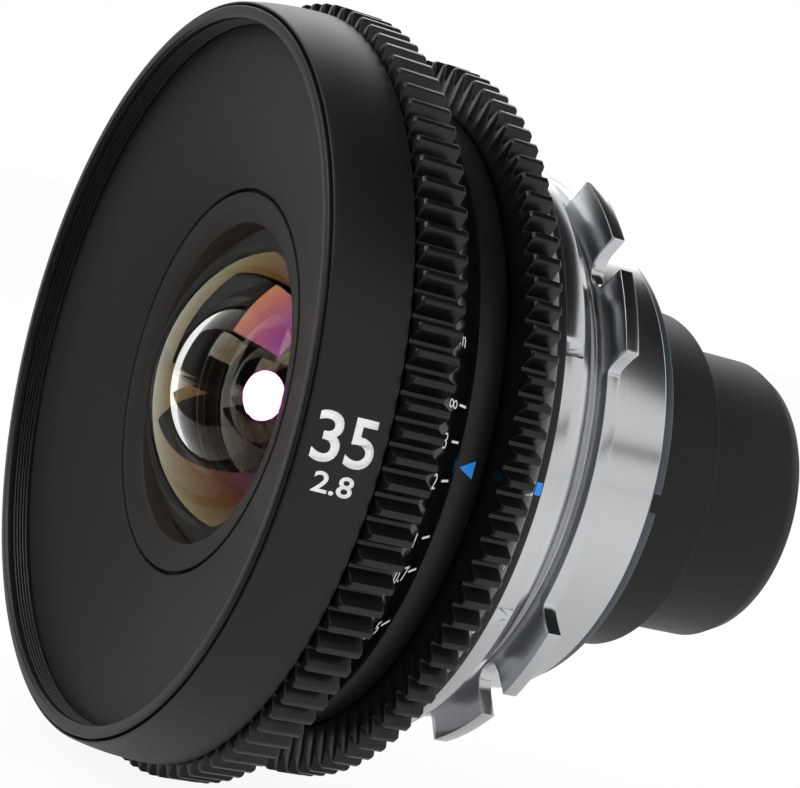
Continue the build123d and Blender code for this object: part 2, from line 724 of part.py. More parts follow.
def blade(level):
    """One iris blade in its open position, its pivot at clock angle 0."""
    crescent = make_face(Curve([
        ThreePointArc(polar(blade_inner_radius, blade_start_clock),
                      polar(blade_inner_radius, (blade_start_clock + blade_end_clock) / 2),
                      polar(blade_inner_radius, blade_end_clock)),
        Line(polar(blade_inner_radius, blade_end_clock), polar(blade_outer_radius, blade_end_clock)),
        ThreePointArc(polar(blade_outer_radius, blade_end_clock),
                      polar(blade_outer_radius, (blade_start_clock + blade_end_clock) / 2),
                      polar(blade_outer_radius, blade_start_clock)),
        Line(polar(blade_outer_radius, blade_start_clock), polar(blade_inner_radius, blade_start_clock))]))
    radius, clock = drive_point(0)
    pivot, tip = Vector(blade_pivot_radius, 0), Vector(*polar(radius, clock))
    ear = Pos(*((pivot + tip) / 2)) * Rot(0, 0, blade_lever_clock) * SlotCenterToCenter(
        blade_lever, 2 * blade_ear_radius)
    root = Pos(blade_pivot_radius - blade_ear_radius, 0) * Rectangle(2 * blade_ear_radius,
                                                                       2 * blade_ear_radius)
    start = blade_station(level)
    end = start + blade_thickness
    leaf = plate_between(crescent + ear + root, start, end)
    housing_start = web_start - housing_thickness
    pivot_pin = axial_pin(blade_pin_radius, end - blade_thickness / 2,
                          housing_start + housing_thickness * pivot_depth_share, blade_pivot_radius, 0)
    drive_pin = axial_pin(blade_pin_radius, actuator_start() + edge_break,
                          start + blade_thickness / 2, radius, clock)
    return leaf + pivot_pin + drive_pin


# The mount, its shim, dowel and lock ring
def mount_pieces():
    bore = neck_radius + fit_gap
    fall = mount_collar_rear_radius - lock_groove_radius
    sag_depth = lock_hollow_sag_share * lock_hollow_length
    hollow_middle = at((mount_collar_rear_radius + lock_groove_radius) / 2 - sag_depth,
                       (collar_end + hollow_end) / 2 - lock_hollow_sag_share * fall)
    outline = [
        Polyline(at(lock_groove_radius, hollow_end), at(lock_groove_radius, seat),
                 at(locating_radius, seat), at(locating_radius, locating_end - edge_break),
                 at(locating_radius - edge_break, locating_end), at(bore, locating_end),
                 at(bore, mount_start), at(mount_collar_radius - edge_break, mount_start),
                 at(mount_collar_radius, mount_start + edge_break),
                 at(mount_collar_rear_radius, collar_end)),
        ThreePointArc(at(mount_collar_rear_radius, collar_end), hollow_middle,
                      at(lock_groove_radius, hollow_end))]
    body = revolve(make_face(Curve(outline)), axis=Axis.Y)
    flange = plate_between(Circle(mount_gap_radius), tab_front, seat)
    flange = flange - ring(0, lock_groove_radius - flange_root, tab_front - overrun, seat + overrun)
    for tab in around(mount_tab(), tab_count, tab_clock):
        flange = flange + tab
    body = body + flange
    reach = tab_radius - tab_notch_bottom - tab_notch_width / 2 + overrun
    round_centre = tab_notch_bottom + tab_notch_width / 2
    notch = slab(reach, tab_notch_width, tab_front - overrun, seat + overrun, round_centre)
    notch = notch + axial_pin(tab_notch_width / 2, tab_front - overrun, seat + overrun,
                              round_centre, 0)
    body = cut(body, around(notch, tab_count, tab_clock))
    hole = axial_pin(dowel_radius + fit_gap, mount_start - overrun, mount_start + dowel_depth,
                     dowel_place(), dowel_clock)
    parts["lens_mount"] = body - hole
    shim = ring(bore, mount_collar_radius - edge_break, iris_index_end, mount_start)
    parts["flange_shim"] = shim - axial_pin(dowel_radius + fit_gap, iris_index_end - overrun,
                                            mount_start + overrun, dowel_place(), dowel_clock)
    parts["mount_dowel"] = axial_pin(dowel_radius - fit_gap, web_start + edge_break,
                                     mount_start + dowel_depth - edge_break, dowel_place(), dowel_clock)
    lock = ring(bore, lock_ring_radius, locating_end, lock_ring_end, edge_break)
    parts["mount_lock_ring"] = cut(lock, spanner_slots(lock_ring_radius, lock_ring_end))


def mount_tab():
    """One bayonet tab, its middle at clock angle 0, with two hollow ends."""
    inner = lock_groove_radius - flange_root / 2
    low, high = -tab_half_angle, tab_half_angle
    waist = mount_gap_radius + tab_ramp_rise_share * (tab_radius - mount_gap_radius)
    half_ramp = tab_ramp_angle / 2
    outline = Curve([
        Line(polar(inner, low), polar(mount_gap_radius, low)),
        ThreePointArc(polar(mount_gap_radius, low), polar(waist, low + half_ramp),
                      polar(tab_radius, low + tab_ramp_angle)),
        ThreePointArc(polar(tab_radius, low + tab_ramp_angle), polar(tab_radius, 0),
                      polar(tab_radius, high - tab_ramp_angle)),
        ThreePointArc(polar(tab_radius, high - tab_ramp_angle), polar(waist, high - half_ramp),
                      polar(mount_gap_radius, high)),
        Line(polar(mount_gap_radius, high), polar(inner, high)),
        ThreePointArc(polar(inner, high), polar(inner, 0), polar(inner, low))])
    return plate_between(make_face(outline), tab_front, seat)


# Middle group, in the neck, and the rear barrel with its lens tube
def rear_pieces():
    start, end = middle_start(), middle_end()
    bore = middle_glass_radius + fit_gap
    parts["middle_cell"] = turned([(bore, start), (neck_bore_radius - fit_gap, start),
                                   (neck_bore_radius - fit_gap, end),
                                   (bore - lens_ledge, end),
                                   (bore - lens_ledge, end - lens_ledge),
                                   (bore, end - lens_ledge)])
    names = ("middle_front_element", "middle_element", "middle_rear_element")
    length = end - lens_ledge - start
    edges = glass_row(names, middle_glass_shares, start, length, middle_glass_radius)
    clear = middle_glass_radius * (1 - glass_land_share)
    parts["middle_front_spacer"] = ring(clear, middle_glass_radius, edges[0][1], edges[1][0])
    parts["middle_rear_spacer"] = ring(clear, middle_glass_radius, edges[1][1], edges[2][0])
    keeper = ring(bore - lens_ledge, neck_bore_radius - fit_gap, web_start, start)
    parts["middle_retaining_ring"] = keeper

    spigot_start = lock_ring_end - rear_spigot_length
    ledge_end = spigot_start + rear_ledge_length
    parts["rear_barrel"] = turned([
        (rear_ledge_radius, spigot_start), (neck_bore_radius - fit_gap, spigot_start),
        (neck_bore_radius - fit_gap, lock_ring_end - side_gap),
        (rear_step_radius, lock_ring_end - side_gap),
        (rear_step_radius, rear_step_end), (rear_tail_radius, rear_tail_start),
        (rear_tail_radius, rear_tail_end), (rear_end_radius, rear_end),
        (rear_bore_radius, rear_end), (rear_bore_radius, ledge_end), (rear_ledge_radius, ledge_end)])
    tube_end = rear_end - rear_recess - rear_ring_length
    glass_bore = rear_glass_radius + fit_gap
    lip = glass_bore - lens_ledge
    parts["rear_lens_tube"] = turned([
        (lip, ledge_end), (rear_bore_radius - fit_gap, ledge_end), (rear_bore_radius - fit_gap, tube_end),
        (glass_bore, tube_end), (glass_bore, ledge_end + lens_ledge),
        (lip, ledge_end + lens_ledge)])
    names = ("rear_group_first_element", "rear_group_second_element",
             "rear_group_third_element", "rear_element")
    row_start = ledge_end + lens_ledge
    edges = glass_row(names, rear_glass_shares, row_start, tube_end - row_start, rear_glass_radius)
    clear = rear_glass_radius * (1 - glass_land_share)
    for k, name in enumerate(("rear_first_spacer", "rear_second_spacer", "rear_third_spacer")):
        parts[name] = ring(clear, rear_glass_radius, edges[k][1], edges[k + 1][0])
    keeper_start = tube_end
    keeper_end = keeper_start + rear_ring_length
    keeper = turned([(clear, edges[-1][1]), (rear_glass_radius, edges[-1][1]),
                     (rear_glass_radius, keeper_start), (rear_bore_radius - fit_gap, keeper_start),
                     (rear_bore_radius - fit_gap, keeper_end), (clear + edge_break, keeper_end),
                     (clear, keeper_end - edge_break)])
    parts["rear_retaining_ring"] = cut(keeper, spanner_slots(rear_bore_radius, keeper_end))


main_barrel(front_group(front_pieces()))
outside_rings()
focus_drive()
focus_group()
iris_drive()
for level in range(blade_count):
    parts[f"iris_blade_{level + 1}"] = clocked(blade(level), full_turn * level / blade_count)
mount_pieces()
rear_pieces()

os.makedirs("parts", exist_ok=True)
for name, solid in parts.items():
    export_step(solid, f"parts/{name}.step")
print("nodes", len(parts), "seat station", round(seat, 2), "length", round(rear_end, 2))
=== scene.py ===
"""A wide-angle cinema prime lens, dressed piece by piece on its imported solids.

Sizes are in millimetres until a mesh is made. The optical axis is Y, the glass looks
towards -Y, and clock angles run about the axis from +X towards +Z.
"""
import json
from math import asin, atan2, cos, degrees, hypot, pi, radians, sin, sqrt, tan

import bmesh
import bpy
from bpy.props import FloatProperty, FloatVectorProperty, PointerProperty
from mathutils import Matrix, Vector

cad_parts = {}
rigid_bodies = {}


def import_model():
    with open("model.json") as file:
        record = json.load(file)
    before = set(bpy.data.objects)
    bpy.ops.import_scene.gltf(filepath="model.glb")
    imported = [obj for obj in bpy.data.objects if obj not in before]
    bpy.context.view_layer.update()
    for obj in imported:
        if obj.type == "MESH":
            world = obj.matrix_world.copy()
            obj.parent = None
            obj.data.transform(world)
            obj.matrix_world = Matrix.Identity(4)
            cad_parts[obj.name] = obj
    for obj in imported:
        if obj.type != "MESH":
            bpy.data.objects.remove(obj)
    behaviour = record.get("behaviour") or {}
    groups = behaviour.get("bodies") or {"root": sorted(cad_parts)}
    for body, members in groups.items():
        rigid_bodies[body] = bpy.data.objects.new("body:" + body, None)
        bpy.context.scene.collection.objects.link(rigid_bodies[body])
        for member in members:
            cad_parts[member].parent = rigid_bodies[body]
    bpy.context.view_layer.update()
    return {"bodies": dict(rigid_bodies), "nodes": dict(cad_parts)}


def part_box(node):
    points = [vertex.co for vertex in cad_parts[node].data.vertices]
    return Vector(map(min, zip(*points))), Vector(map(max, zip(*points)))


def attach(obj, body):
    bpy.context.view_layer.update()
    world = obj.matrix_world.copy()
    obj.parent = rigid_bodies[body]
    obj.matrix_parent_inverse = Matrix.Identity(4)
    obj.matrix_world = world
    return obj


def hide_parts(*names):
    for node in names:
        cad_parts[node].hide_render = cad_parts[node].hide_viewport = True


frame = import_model()

bl_info = {
    "name": "Cinema prime lens",
    "version": (1, 0, 0),
    "blender": (4, 5, 0),
    "location": "3D View > Sidebar > Lens",
    "description": "Builds the visible pieces of a wide-angle cinema prime lens",
    "category": "Object",
}

MM = 0.001
FULL_TURN = 2 * pi
RING_STEPS = 256            # facets round a turned ring
GLASS_STEPS = 192
MOUNT_STEPS = 720           # half a degree each, so the tabs' ends fall on a facet
MERGE = 0.001 * MM
GLASS_INDEX = 1.6
COATING_INDEX = 1.36
POLISH = 0.004
SMOOTH_ANGLE = radians(40)
BEVEL_ANGLE = radians(28)


def linear(*channels):
    """A colour of 0 to 255 screen values as Blender's linear values."""
    return [(c / 255 / 12.92) if c <= 10 else ((c / 255 + 0.055) / 1.055) ** 2.4 for c in channels]


def stations(node):
    """Front station, rear station and outer radius of a CAD node, in millimetres."""
    low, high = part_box(node)
    return low.y / MM, high.y / MM, high.x / MM


# ---------------------------------------------------------------- sizes and colours


def length(name, default, description):
    return FloatProperty(name=name, description=description, default=default * MM, min=0.0,
                         unit="LENGTH", subtype="DISTANCE", precision=5)


def colour(name, default, description):
    return FloatVectorProperty(name=name, description=description, default=linear(*default),
                               subtype="COLOR", size=3, min=0.0, max=1.0)


class LensSizes(bpy.types.PropertyGroup):
    """Sizes that a maker would change."""
    edge_bevel: length("Edge bevel", 0.1, "Rounding of the turned edges")
    tooth_bevel: length("Tooth bevel", 0.05, "Rounding of the gear teeth")
    tooth_chamfer: length("Tooth chamfer", 0.27, "Chamfer on the ends of the gear teeth")
    big_numeral: length("Large numeral", 4.9, "Height of the focal length on the shell")
    small_numeral: length("Small numeral", 2.05, "Height of the opening number on the shell")
    scale_numeral: length("Scale numeral", 1.7, "Height of the distance numbers")
    iris_numeral: length("Iris numeral", 1.5, "Height of the iris numbers")
    paint_depth: length("Paint depth", 0.05, "Thickness of the painted marks")
    line_width: length("Line width", 0.24, "Width of the scale lines")


class LensFinishes(bpy.types.PropertyGroup):
    """Colours of the finishes."""
    shell_black: colour("Satin black", (17, 17, 18), "Bead-blasted black of the shell and rim")
    plate_grey: colour("Front plate", (34, 34, 33), "Matte grey of the front plate")
    gloss_black: colour("Gloss black", (9, 9, 10), "Polished black of the scale bands")
    gear_black: colour("Gear black", (13, 13, 14), "Black of the gear teeth")
    matte_black: colour("Matte black", (16, 16, 17), "Anodised black of the rear barrel")
    lock_black: colour("Blued black", (44, 52, 60), "Blued finish of the ring behind the mount")
    plated_silver: colour("Plated silver", (190, 192, 194), "Plating of the mount")
    brass: colour("Brass", (181, 148, 83), "Brass of the inner rings")
    steel: colour("Steel", (150, 151, 154), "Steel of the pins and screws")
    mark_white: colour("White marks", (226, 226, 224), "Paint of the numbers and lines")
    mark_blue: colour("Blue marks", (33, 140, 235), "Paint of the index marks")


class LensStage(bpy.types.PropertyGroup):
    """Floor and light."""
    floor_white: colour("Floor", (242, 242, 242), "Colour of the floor")
    edge_light: FloatProperty(
        name="Edge light", description="Power of the softbox behind the object",
        default=1.4, min=0.0, unit="POWER")
    fill_light: FloatProperty(
        name="Fill light", description="Power of the soft light on the camera's side",
        default=1.8, min=0.0, unit="POWER")
    glass_light: FloatProperty(
        name="Glass light", description="Power of the small softbox in front of the glass",
        default=3.2, min=0.0, unit="POWER")
    lamp_strength: FloatProperty(
        name="Lamp in the glass", default=200.0, min=0.0,
        description="Strength of the round lamp that the front glass mirrors")
    sky_light: FloatProperty(
        name="Sky", description="Strength of the light from all round",
        default=0.8, min=0.0, max=5.0, subtype="FACTOR")


# ---------------------------------------------------------------- hand tools


def deselect():
    if bpy.context.object and bpy.context.object.mode != "OBJECT":
        bpy.ops.object.mode_set(mode="OBJECT")
    bpy.ops.object.select_all(action="DESELECT")


def edit(obj):
    deselect()
    obj.select_set(True)
    bpy.context.view_layer.objects.active = obj
    bpy.ops.object.mode_set(mode="EDIT")
    bpy.ops.mesh.select_mode(type="VERT")


def leave_edit():
    bpy.ops.object.mode_set(mode="OBJECT")


def pick(obj, kind, test):
    """Select the vertices, edges or faces of the mesh in edit mode that pass a test."""
    bpy.ops.mesh.select_mode(type=kind)
    bpy.ops.mesh.select_all(action="DESELECT")
    mesh = bmesh.from_edit_mesh(obj.data)
    chosen = {"VERT": mesh.verts, "EDGE": mesh.edges, "FACE": mesh.faces}[kind]
    count = 0
    for part in chosen:
        if test(part):
            part.select_set(True)
            count += 1
    mesh.select_flush_mode()
    bmesh.update_edit_mesh(obj.data)
    if count == 0:
        raise RuntimeError(f"{obj.name}: nothing to select")
    return count


def draw(name, outline, closed=True):
    """A new mesh whose edges follow (radius, station) corners, drawn corner by corner."""
    deselect()
    bpy.ops.mesh.primitive_plane_add(size=MM)
    obj = bpy.context.object
    obj.name = obj.data.name = name
    bpy.ops.object.mode_set(mode="EDIT")
    bpy.ops.mesh.select_mode(type="VERT")
    bpy.ops.mesh.select_all(action="SELECT")
    bpy.ops.mesh.merge(type="CENTER")
    radius, station = outline[0]
    bpy.ops.transform.translate(value=(radius * MM, station * MM, 0))
    for (r0, y0), (r1, y1) in zip(outline, outline[1:]):
        bpy.ops.mesh.extrude_region_move(
            TRANSFORM_OT_translate={"value": ((r1 - r0) * MM, (y1 - y0) * MM, 0)})
    if closed:
        mesh = bmesh.from_edit_mesh(obj.data)
        ends = [v for v in mesh.verts if len(v.link_edges) == 1]
        for vertex in mesh.verts:
            vertex.select_set(vertex in ends)
        bmesh.update_edit_mesh(obj.data)
        bpy.ops.mesh.edge_face_add()
    return obj


def spin(obj, steps=RING_STEPS):
    """Spin the drawn outline a full turn about the optical axis into a closed solid."""
    bpy.ops.mesh.select_all(action="SELECT")
    bpy.ops.mesh.spin(steps=steps, angle=FULL_TURN, center=(0, 0, 0), axis=(0, 1, 0))
    bpy.ops.mesh.select_all(action="SELECT")
    bpy.ops.mesh.remove_doubles(threshold=MERGE)
    bpy.ops.mesh.normals_make_consistent(inside=False)
    leave_edit()
    return obj


def modifier(obj, kind, **settings):
    """Add a modifier, set it and apply it."""
    deselect()
    obj.select_set(True)
    bpy.context.view_layer.objects.active = obj
    made = obj.modifiers.new(kind.title(), kind)
    for key, value in settings.items():
        setattr(made, key, value)
    bpy.ops.object.modifier_apply(modifier=made.name)


def round_edges(obj, width, segments=2):
    modifier(obj, "BEVEL", width=width, segments=segments, limit_method="ANGLE",
             angle_limit=BEVEL_ANGLE, use_clamp_overlap=True)


def smooth(obj, angle=SMOOTH_ANGLE):
    deselect()
    obj.select_set(True)
    bpy.context.view_layer.objects.active = obj
    bpy.ops.object.shade_smooth_by_angle(angle=angle)


def turned(name, outline, steps=RING_STEPS, bevel=None, closed=True):
    """A turned piece: its outline drawn, spun, its edges rounded and shaded smooth."""
    obj = spin(draw(name, outline, closed), steps)
    if bevel is None:
        bevel = sizes().edge_bevel
    if bevel:
        round_edges(obj, bevel)
    modifier(obj, "WEIGHTED_NORMAL", keep_sharp=True, weight=80)
    smooth(obj)
    return obj


def arc(start, end, bulge, steps):
    """Points of a round stretch between two corners; bulge is its height to the left."""
    (r0, y0), (r1, y1) = start, end
    chord = hypot(r1 - r0, y1 - y0)
    half = chord / 2
    radius = (half * half + bulge * bulge) / (2 * abs(bulge))
    side = 1 if bulge > 0 else -1
    nx, ny = -(y1 - y0) / chord * side, (r1 - r0) / chord * side
    rise = abs(bulge) - radius
    cx, cy = (r0 + r1) / 2 + nx * rise, (y0 + y1) / 2 + ny * rise
    first = atan2(y0 - cy, r0 - cx)
    sweep = atan2(y1 - cy, r1 - cx) - first
    sweep = (sweep + pi) % FULL_TURN - pi
    angles = [first + sweep * k / steps for k in range(steps + 1)]
    return [(cx + radius * cos(angle), cy + radius * sin(angle)) for angle in angles]


def dome(curve, clear, apex, facing, steps):
    """Points of a spherical face from the axis to its clear radius, falling away to facing."""
    points = []
    for k in range(steps + 1):
        angle = asin(clear / curve) * k / steps
        points.append((curve * sin(angle), apex + facing * curve * (1 - cos(angle))))
    return points


def dressed(obj, body, nodes, material):
    """Give a piece its finish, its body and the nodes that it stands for."""
    obj.data.materials.clear()
    obj.data.materials.append(material)
    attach(obj, body)
    if nodes:
        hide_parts(*nodes)
    return obj


def sizes():
    return bpy.context.scene.lens_sizes


def finishes():
    return bpy.context.scene.lens_finishes


# ---------------------------------------------------------------- finishes


def shader(name, base, roughness, metallic=0.0, **values):
    """A material with one Principled shader; its plain values stand on its own sockets."""
    if name in bpy.data.materials:
        return bpy.data.materials[name], None
    material = bpy.data.materials.new(name)
    material.use_nodes = True
    node = material.node_tree.nodes["Principled BSDF"]
    node.inputs["Base Color"].default_value = (*base, 1.0)
    node.inputs["Roughness"].default_value = roughness
    node.inputs["Metallic"].default_value = metallic
    for socket, value in values.items():
        node.inputs[socket.replace("_", " ")].default_value = value
    return material, node


def add(material, kind, **settings):
    node = material.node_tree.nodes.new(kind)
    for key, value in settings.items():
        setattr(node, key, value)
    return node


def join(material, source, target):
    material.node_tree.links.new(source, target)


def grain(material, node, size, strength, spread=0.0, roughness=0.0):
    """Fine bead-blasted grain: bump, and a little change of roughness."""
    place = add(material, "ShaderNodeTexCoord")
    noise = add(material, "ShaderNodeTexNoise")
    noise.inputs["Scale"].default_value = 1 / (size * MM)
    noise.inputs["Detail"].default_value = 2.0
    bump = add(material, "ShaderNodeBump")
    bump.inputs["Strength"].default_value = strength
    bump.inputs["Distance"].default_value = 0.02 * MM
    join(material, place.outputs["Object"], noise.inputs["Vector"])
    join(material, noise.outputs["Fac"], bump.inputs["Height"])
    join(material, bump.outputs["Normal"], node.inputs["Normal"])
    if spread:
        vary(material, node, noise.outputs["Fac"], roughness, spread)


def vary(material, node, source, roughness, spread):
    scale = add(material, "ShaderNodeMapRange")
    scale.inputs["To Min"].default_value = roughness - spread
    scale.inputs["To Max"].default_value = roughness + spread
    join(material, source, scale.inputs["Value"])
    join(material, scale.outputs["Result"], node.inputs["Roughness"])


def turning(material, node, pitch, strength, roughness, spread):
    """Tool lines round the axis: they change with the radius and along the axis."""
    place = add(material, "ShaderNodeTexCoord")
    split = add(material, "ShaderNodeSeparateXYZ")
    flat = add(material, "ShaderNodeCombineXYZ")
    reach = add(material, "ShaderNodeVectorMath", operation="LENGTH")
    total = add(material, "ShaderNodeMath", operation="ADD")
    noise = add(material, "ShaderNodeTexNoise", noise_dimensions="1D")
    noise.inputs["Scale"].default_value = 1 / (pitch * MM)
    noise.inputs["Detail"].default_value = 3.0
    bump = add(material, "ShaderNodeBump")
    bump.inputs["Strength"].default_value = strength
    bump.inputs["Distance"].default_value = 0.02 * MM
    join(material, place.outputs["Object"], split.inputs["Vector"])
    join(material, split.outputs["X"], flat.inputs["X"])
    join(material, split.outputs["Z"], flat.inputs["Z"])
    join(material, flat.outputs["Vector"], reach.inputs[0])
    join(material, reach.outputs["Value"], total.inputs[0])
    join(material, split.outputs["Y"], total.inputs[1])
    join(material, total.outputs["Value"], noise.inputs["W"])
    join(material, noise.outputs["Fac"], bump.inputs["Height"])
    join(material, bump.outputs["Normal"], node.inputs["Normal"])
    vary(material, node, noise.outputs["Fac"], roughness, spread)


def surfaced(name, base, roughness, surface, amounts, **values):
    """A finish with its own fine surface: grain all over, or turning lines round the axis."""
    material, node = shader(name, base, roughness, **values)
    if node:
        surface(material, node, *amounts)
    return material


def satin_black():
    return surfaced("satin_black", finishes().shell_black, 0.42, grain, (0.12, 0.35, 0.05, 0.42),
                    Specular_IOR_Level=0.3)


def plate_grey():
    return surfaced("plate_grey", finishes().plate_grey, 0.55, turning, (0.09, 0.25, 0.55, 0.06),
                    Specular_IOR_Level=0.15)


def gloss_black():
    return surfaced("gloss_black", finishes().gloss_black, 0.12, turning, (0.2, 0.02, 0.12, 0.03))


def gear_black():
    return surfaced("gear_black", finishes().gear_black, 0.3, grain, (0.1, 0.12, 0.04, 0.3),
                    Specular_IOR_Level=0.35)


def matte_black():
    return surfaced("matte_black", finishes().matte_black, 0.5, grain, (0.1, 0.3, 0.05, 0.5),
                    Specular_IOR_Level=0.2)


def lock_black():
    return surfaced("lock_black", finishes().lock_black, 0.32, turning, (0.15, 0.05, 0.32, 0.04),
                    Specular_IOR_Level=0.6)


def plated_silver():
    return surfaced("plated_silver", finishes().plated_silver, 0.2, turning,
                    (0.15, 0.08, 0.2, 0.05), metallic=1.0)


def bare_steel():
    return surfaced("bare_steel", finishes().steel, 0.3, grain, (0.08, 0.1), metallic=1.0)


def blade_steel():
    return surfaced("blade_steel", linear(36, 36, 38), 0.38, grain, (0.06, 0.15), metallic=0.6)


def brass():
    return surfaced("brass", finishes().brass, 0.28, turning, (0.12, 0.05, 0.28, 0.04),
                    metallic=1.0)


def paint(name, base):
    return surfaced(name, base, 0.5, grain, (0.1, 0.1))


POLISH_SCALE = 40.0         # of the slow change in a glass's polish


def coated_glass(name, tint, film, mirrored=(1.0, 1.0, 1.0)):
    """Clear glass with a thin coating, whose thickness sets the colour of its reflections."""
    material, node = shader(name, tint, 0.0, IOR=GLASS_INDEX, Transmission_Weight=1.0,
                            Thin_Film_Thickness=film, Thin_Film_IOR=COATING_INDEX,
                            Specular_Tint=(*mirrored, 1.0))
    if node:
        place = add(material, "ShaderNodeTexCoord")
        noise = add(material, "ShaderNodeTexNoise")
        noise.inputs["Scale"].default_value = POLISH_SCALE
        join(material, place.outputs["Object"], noise.inputs["Vector"])
        vary(material, node, noise.outputs["Fac"], POLISH, POLISH)
    return material


# Black of the glasses' ground edges, and of the painted-shade band on the second glass.
def edge_and_shade_black():
    return surfaced("edge_and_shade_black", linear(8, 8, 8), 0.7, grain, (0.1, 0.2), Specular_IOR_Level=0.1)


def blacken(obj, test):
    """Paint the ground edge of a glass black, as a maker does against stray light."""
    obj.data.materials.append(edge_and_shade_black())
    paint_faces(obj, 1, test)


def paint_faces(obj, slot, test):
    """Give the faces that pass a test one of the piece's finishes."""
    edit(obj)
    pick(obj, "FACE", test)
    obj.active_material_index = slot
    bpy.ops.object.material_slot_assign()
    leave_edit()


# ---------------------------------------------------------------- front pieces

RIM_BORE = 38.2
RIM_THREAD = 38.9
RIM_LIP_LENGTH = 1.0
RIM_LIP_CHAMFER = 0.15
RIM_CHAMFER = 0.3
THREAD_SHARES = (0.34, 0.46, 0.58, 0.7, 0.82)
THREAD_WIDTH = 0.2
THREAD_DEPTH = 0.14


def front_rim():
    front, rear, lip = stations("front_rim_ring")
    outline = [(RIM_BORE, rear), (RIM_THREAD, rear), (RIM_THREAD, front + RIM_LIP_LENGTH),
               (lip, front + RIM_LIP_LENGTH), (lip, front + RIM_LIP_CHAMFER),
               (lip - RIM_LIP_CHAMFER, front),
               (RIM_BORE + RIM_CHAMFER, front), (RIM_BORE, front + RIM_CHAMFER)]
    for share in THREAD_SHARES:
        middle = front + share * (rear - front)
        outline += [(RIM_BORE, middle - THREAD_WIDTH / 2), (RIM_BORE + THREAD_DEPTH, middle),
                    (RIM_BORE, middle + THREAD_WIDTH / 2)]
    obj = turned("front_rim", outline, bevel=0.05 * MM)
    dressed(obj, "barrel", ["front_rim_ring"], satin_black())


SHELL_WALL = 1.72           # over the barrel's flange
SHELL_BOW = 0.29            # of the outside, half way along
SHELL_STRAIGHT = 0.575
SHELL_BOW_SHARE = 0.99
SHELL_LEDGE = 3.0
LEDGE_FRONT = 0.6           # the ledge's faces, behind SHELL_LEDGE
LEDGE_REAR = 1.8
LEDGE_HEIGHT = 0.8
SHELL_FRONT_OVER_LIP = 0.45
SHELL_BORE_OVER_LIP = 0.225
SHELL_OVER_FLANGE = 1.15
RIM_SEAT = 1.15             # behind the rim's front


def shell():
    front, rear, outer = stations("front_shell")
    rim_front, _, lip = stations("front_rim_ring")
    lip_bore = lip + SHELL_BORE_OVER_LIP
    bore = outer - SHELL_OVER_FLANGE - SHELL_WALL
    ledge_bore = bore - LEDGE_HEIGHT
    ledge_front = front + SHELL_LEDGE + LEDGE_FRONT
    ledge_rear = front + SHELL_LEDGE + LEDGE_REAR
    rim_bore = RIM_THREAD + RING_PLAY
    rim_seat = rim_front + RIM_SEAT
    bow = -(SHELL_STRAIGHT - SHELL_BOW) * SHELL_BOW_SHARE
    outside = arc((lip + SHELL_FRONT_OVER_LIP, front), (outer, rear), bow, 24)
    outline = outside + [(bore, rear), (bore, ledge_rear), (ledge_bore, ledge_rear),
                         (ledge_bore, ledge_front), (rim_bore, ledge_front), (rim_bore, rim_seat),
                         (lip_bore, rim_seat), (lip_bore, front)]
    obj = turned("front_shell_dressed", outline)
    dressed(obj, "barrel", ["front_shell"], satin_black())


PLATE_LAND = 1.0
PLATE_THICKNESS = 0.9
PLATE_GAP = 0.4             # round the bezel


def plate():
    front, rear, outer = stations("front_plate")
    inner = stations("front_retaining_ring")[2] + PLATE_GAP
    land = RIM_BORE - PLATE_LAND
    back = rear - PLATE_THICKNESS
    outline = [(outer, front), (land, front), (inner, back), (inner, rear),
               (land - PLATE_THICKNESS / 2, front + PLATE_THICKNESS),
               (outer, front + PLATE_THICKNESS)]
    obj = turned("front_plate_dressed", outline, bevel=0.08 * MM)
    dressed(obj, "barrel", ["front_plate"], plate_grey())


BEZEL_DROP = 0.9            # from the glass radius to the aperture
BEZEL_THICKNESS = 0.85
BEZEL_DEPTH = 1.0
BEZEL_LAND = 0.15           # between its thin edge and the glass


def bezel():
    front, rear, outer = stations("front_retaining_ring")
    glass_radius = stations("front_element")[2]
    inner = glass_radius - BEZEL_DROP
    outline = [(outer, front), (inner, front + BEZEL_DEPTH), (inner, rear), (glass_radius, rear),
               (glass_radius, front + BEZEL_THICKNESS + BEZEL_LAND),
               (outer, front + BEZEL_THICKNESS)]
    obj = turned("glass_bezel", outline, bevel=0.1 * MM)
    dressed(obj, "barrel", ["front_retaining_ring"], plate_grey())


EDGE_MARGIN = 0.01
FRONT_CURVE = 23.2
FRONT_CLEAR = 18.45
FRONT_FILM = 308            # thickness of the coating in nanometres
FRONT_EDGE = 2.0
FRONT_HOLLOW_CLEAR = 11.55
FRONT_HOLLOW_CURVE = 12.45
SECOND_CURVE = 30.0
SECOND_CLEAR = 11.85
SECOND_MARGIN = 0.15        # the domed face ends this far inside the clear radius
SECOND_EDGE = 2.0
SECOND_HOLLOW_CLEAR = 8.6
SECOND_HOLLOW_CURVE = 14.0
DIM_COATING = (0.28, 0.2, 0.11)     # what the coatings inside leave of their reflections
SECOND_SHADE_BAND = (2.2, 0.3)   # painted shade: a black band on the front face of the second glass that darkens the view into the lens, this far inside its clear radius
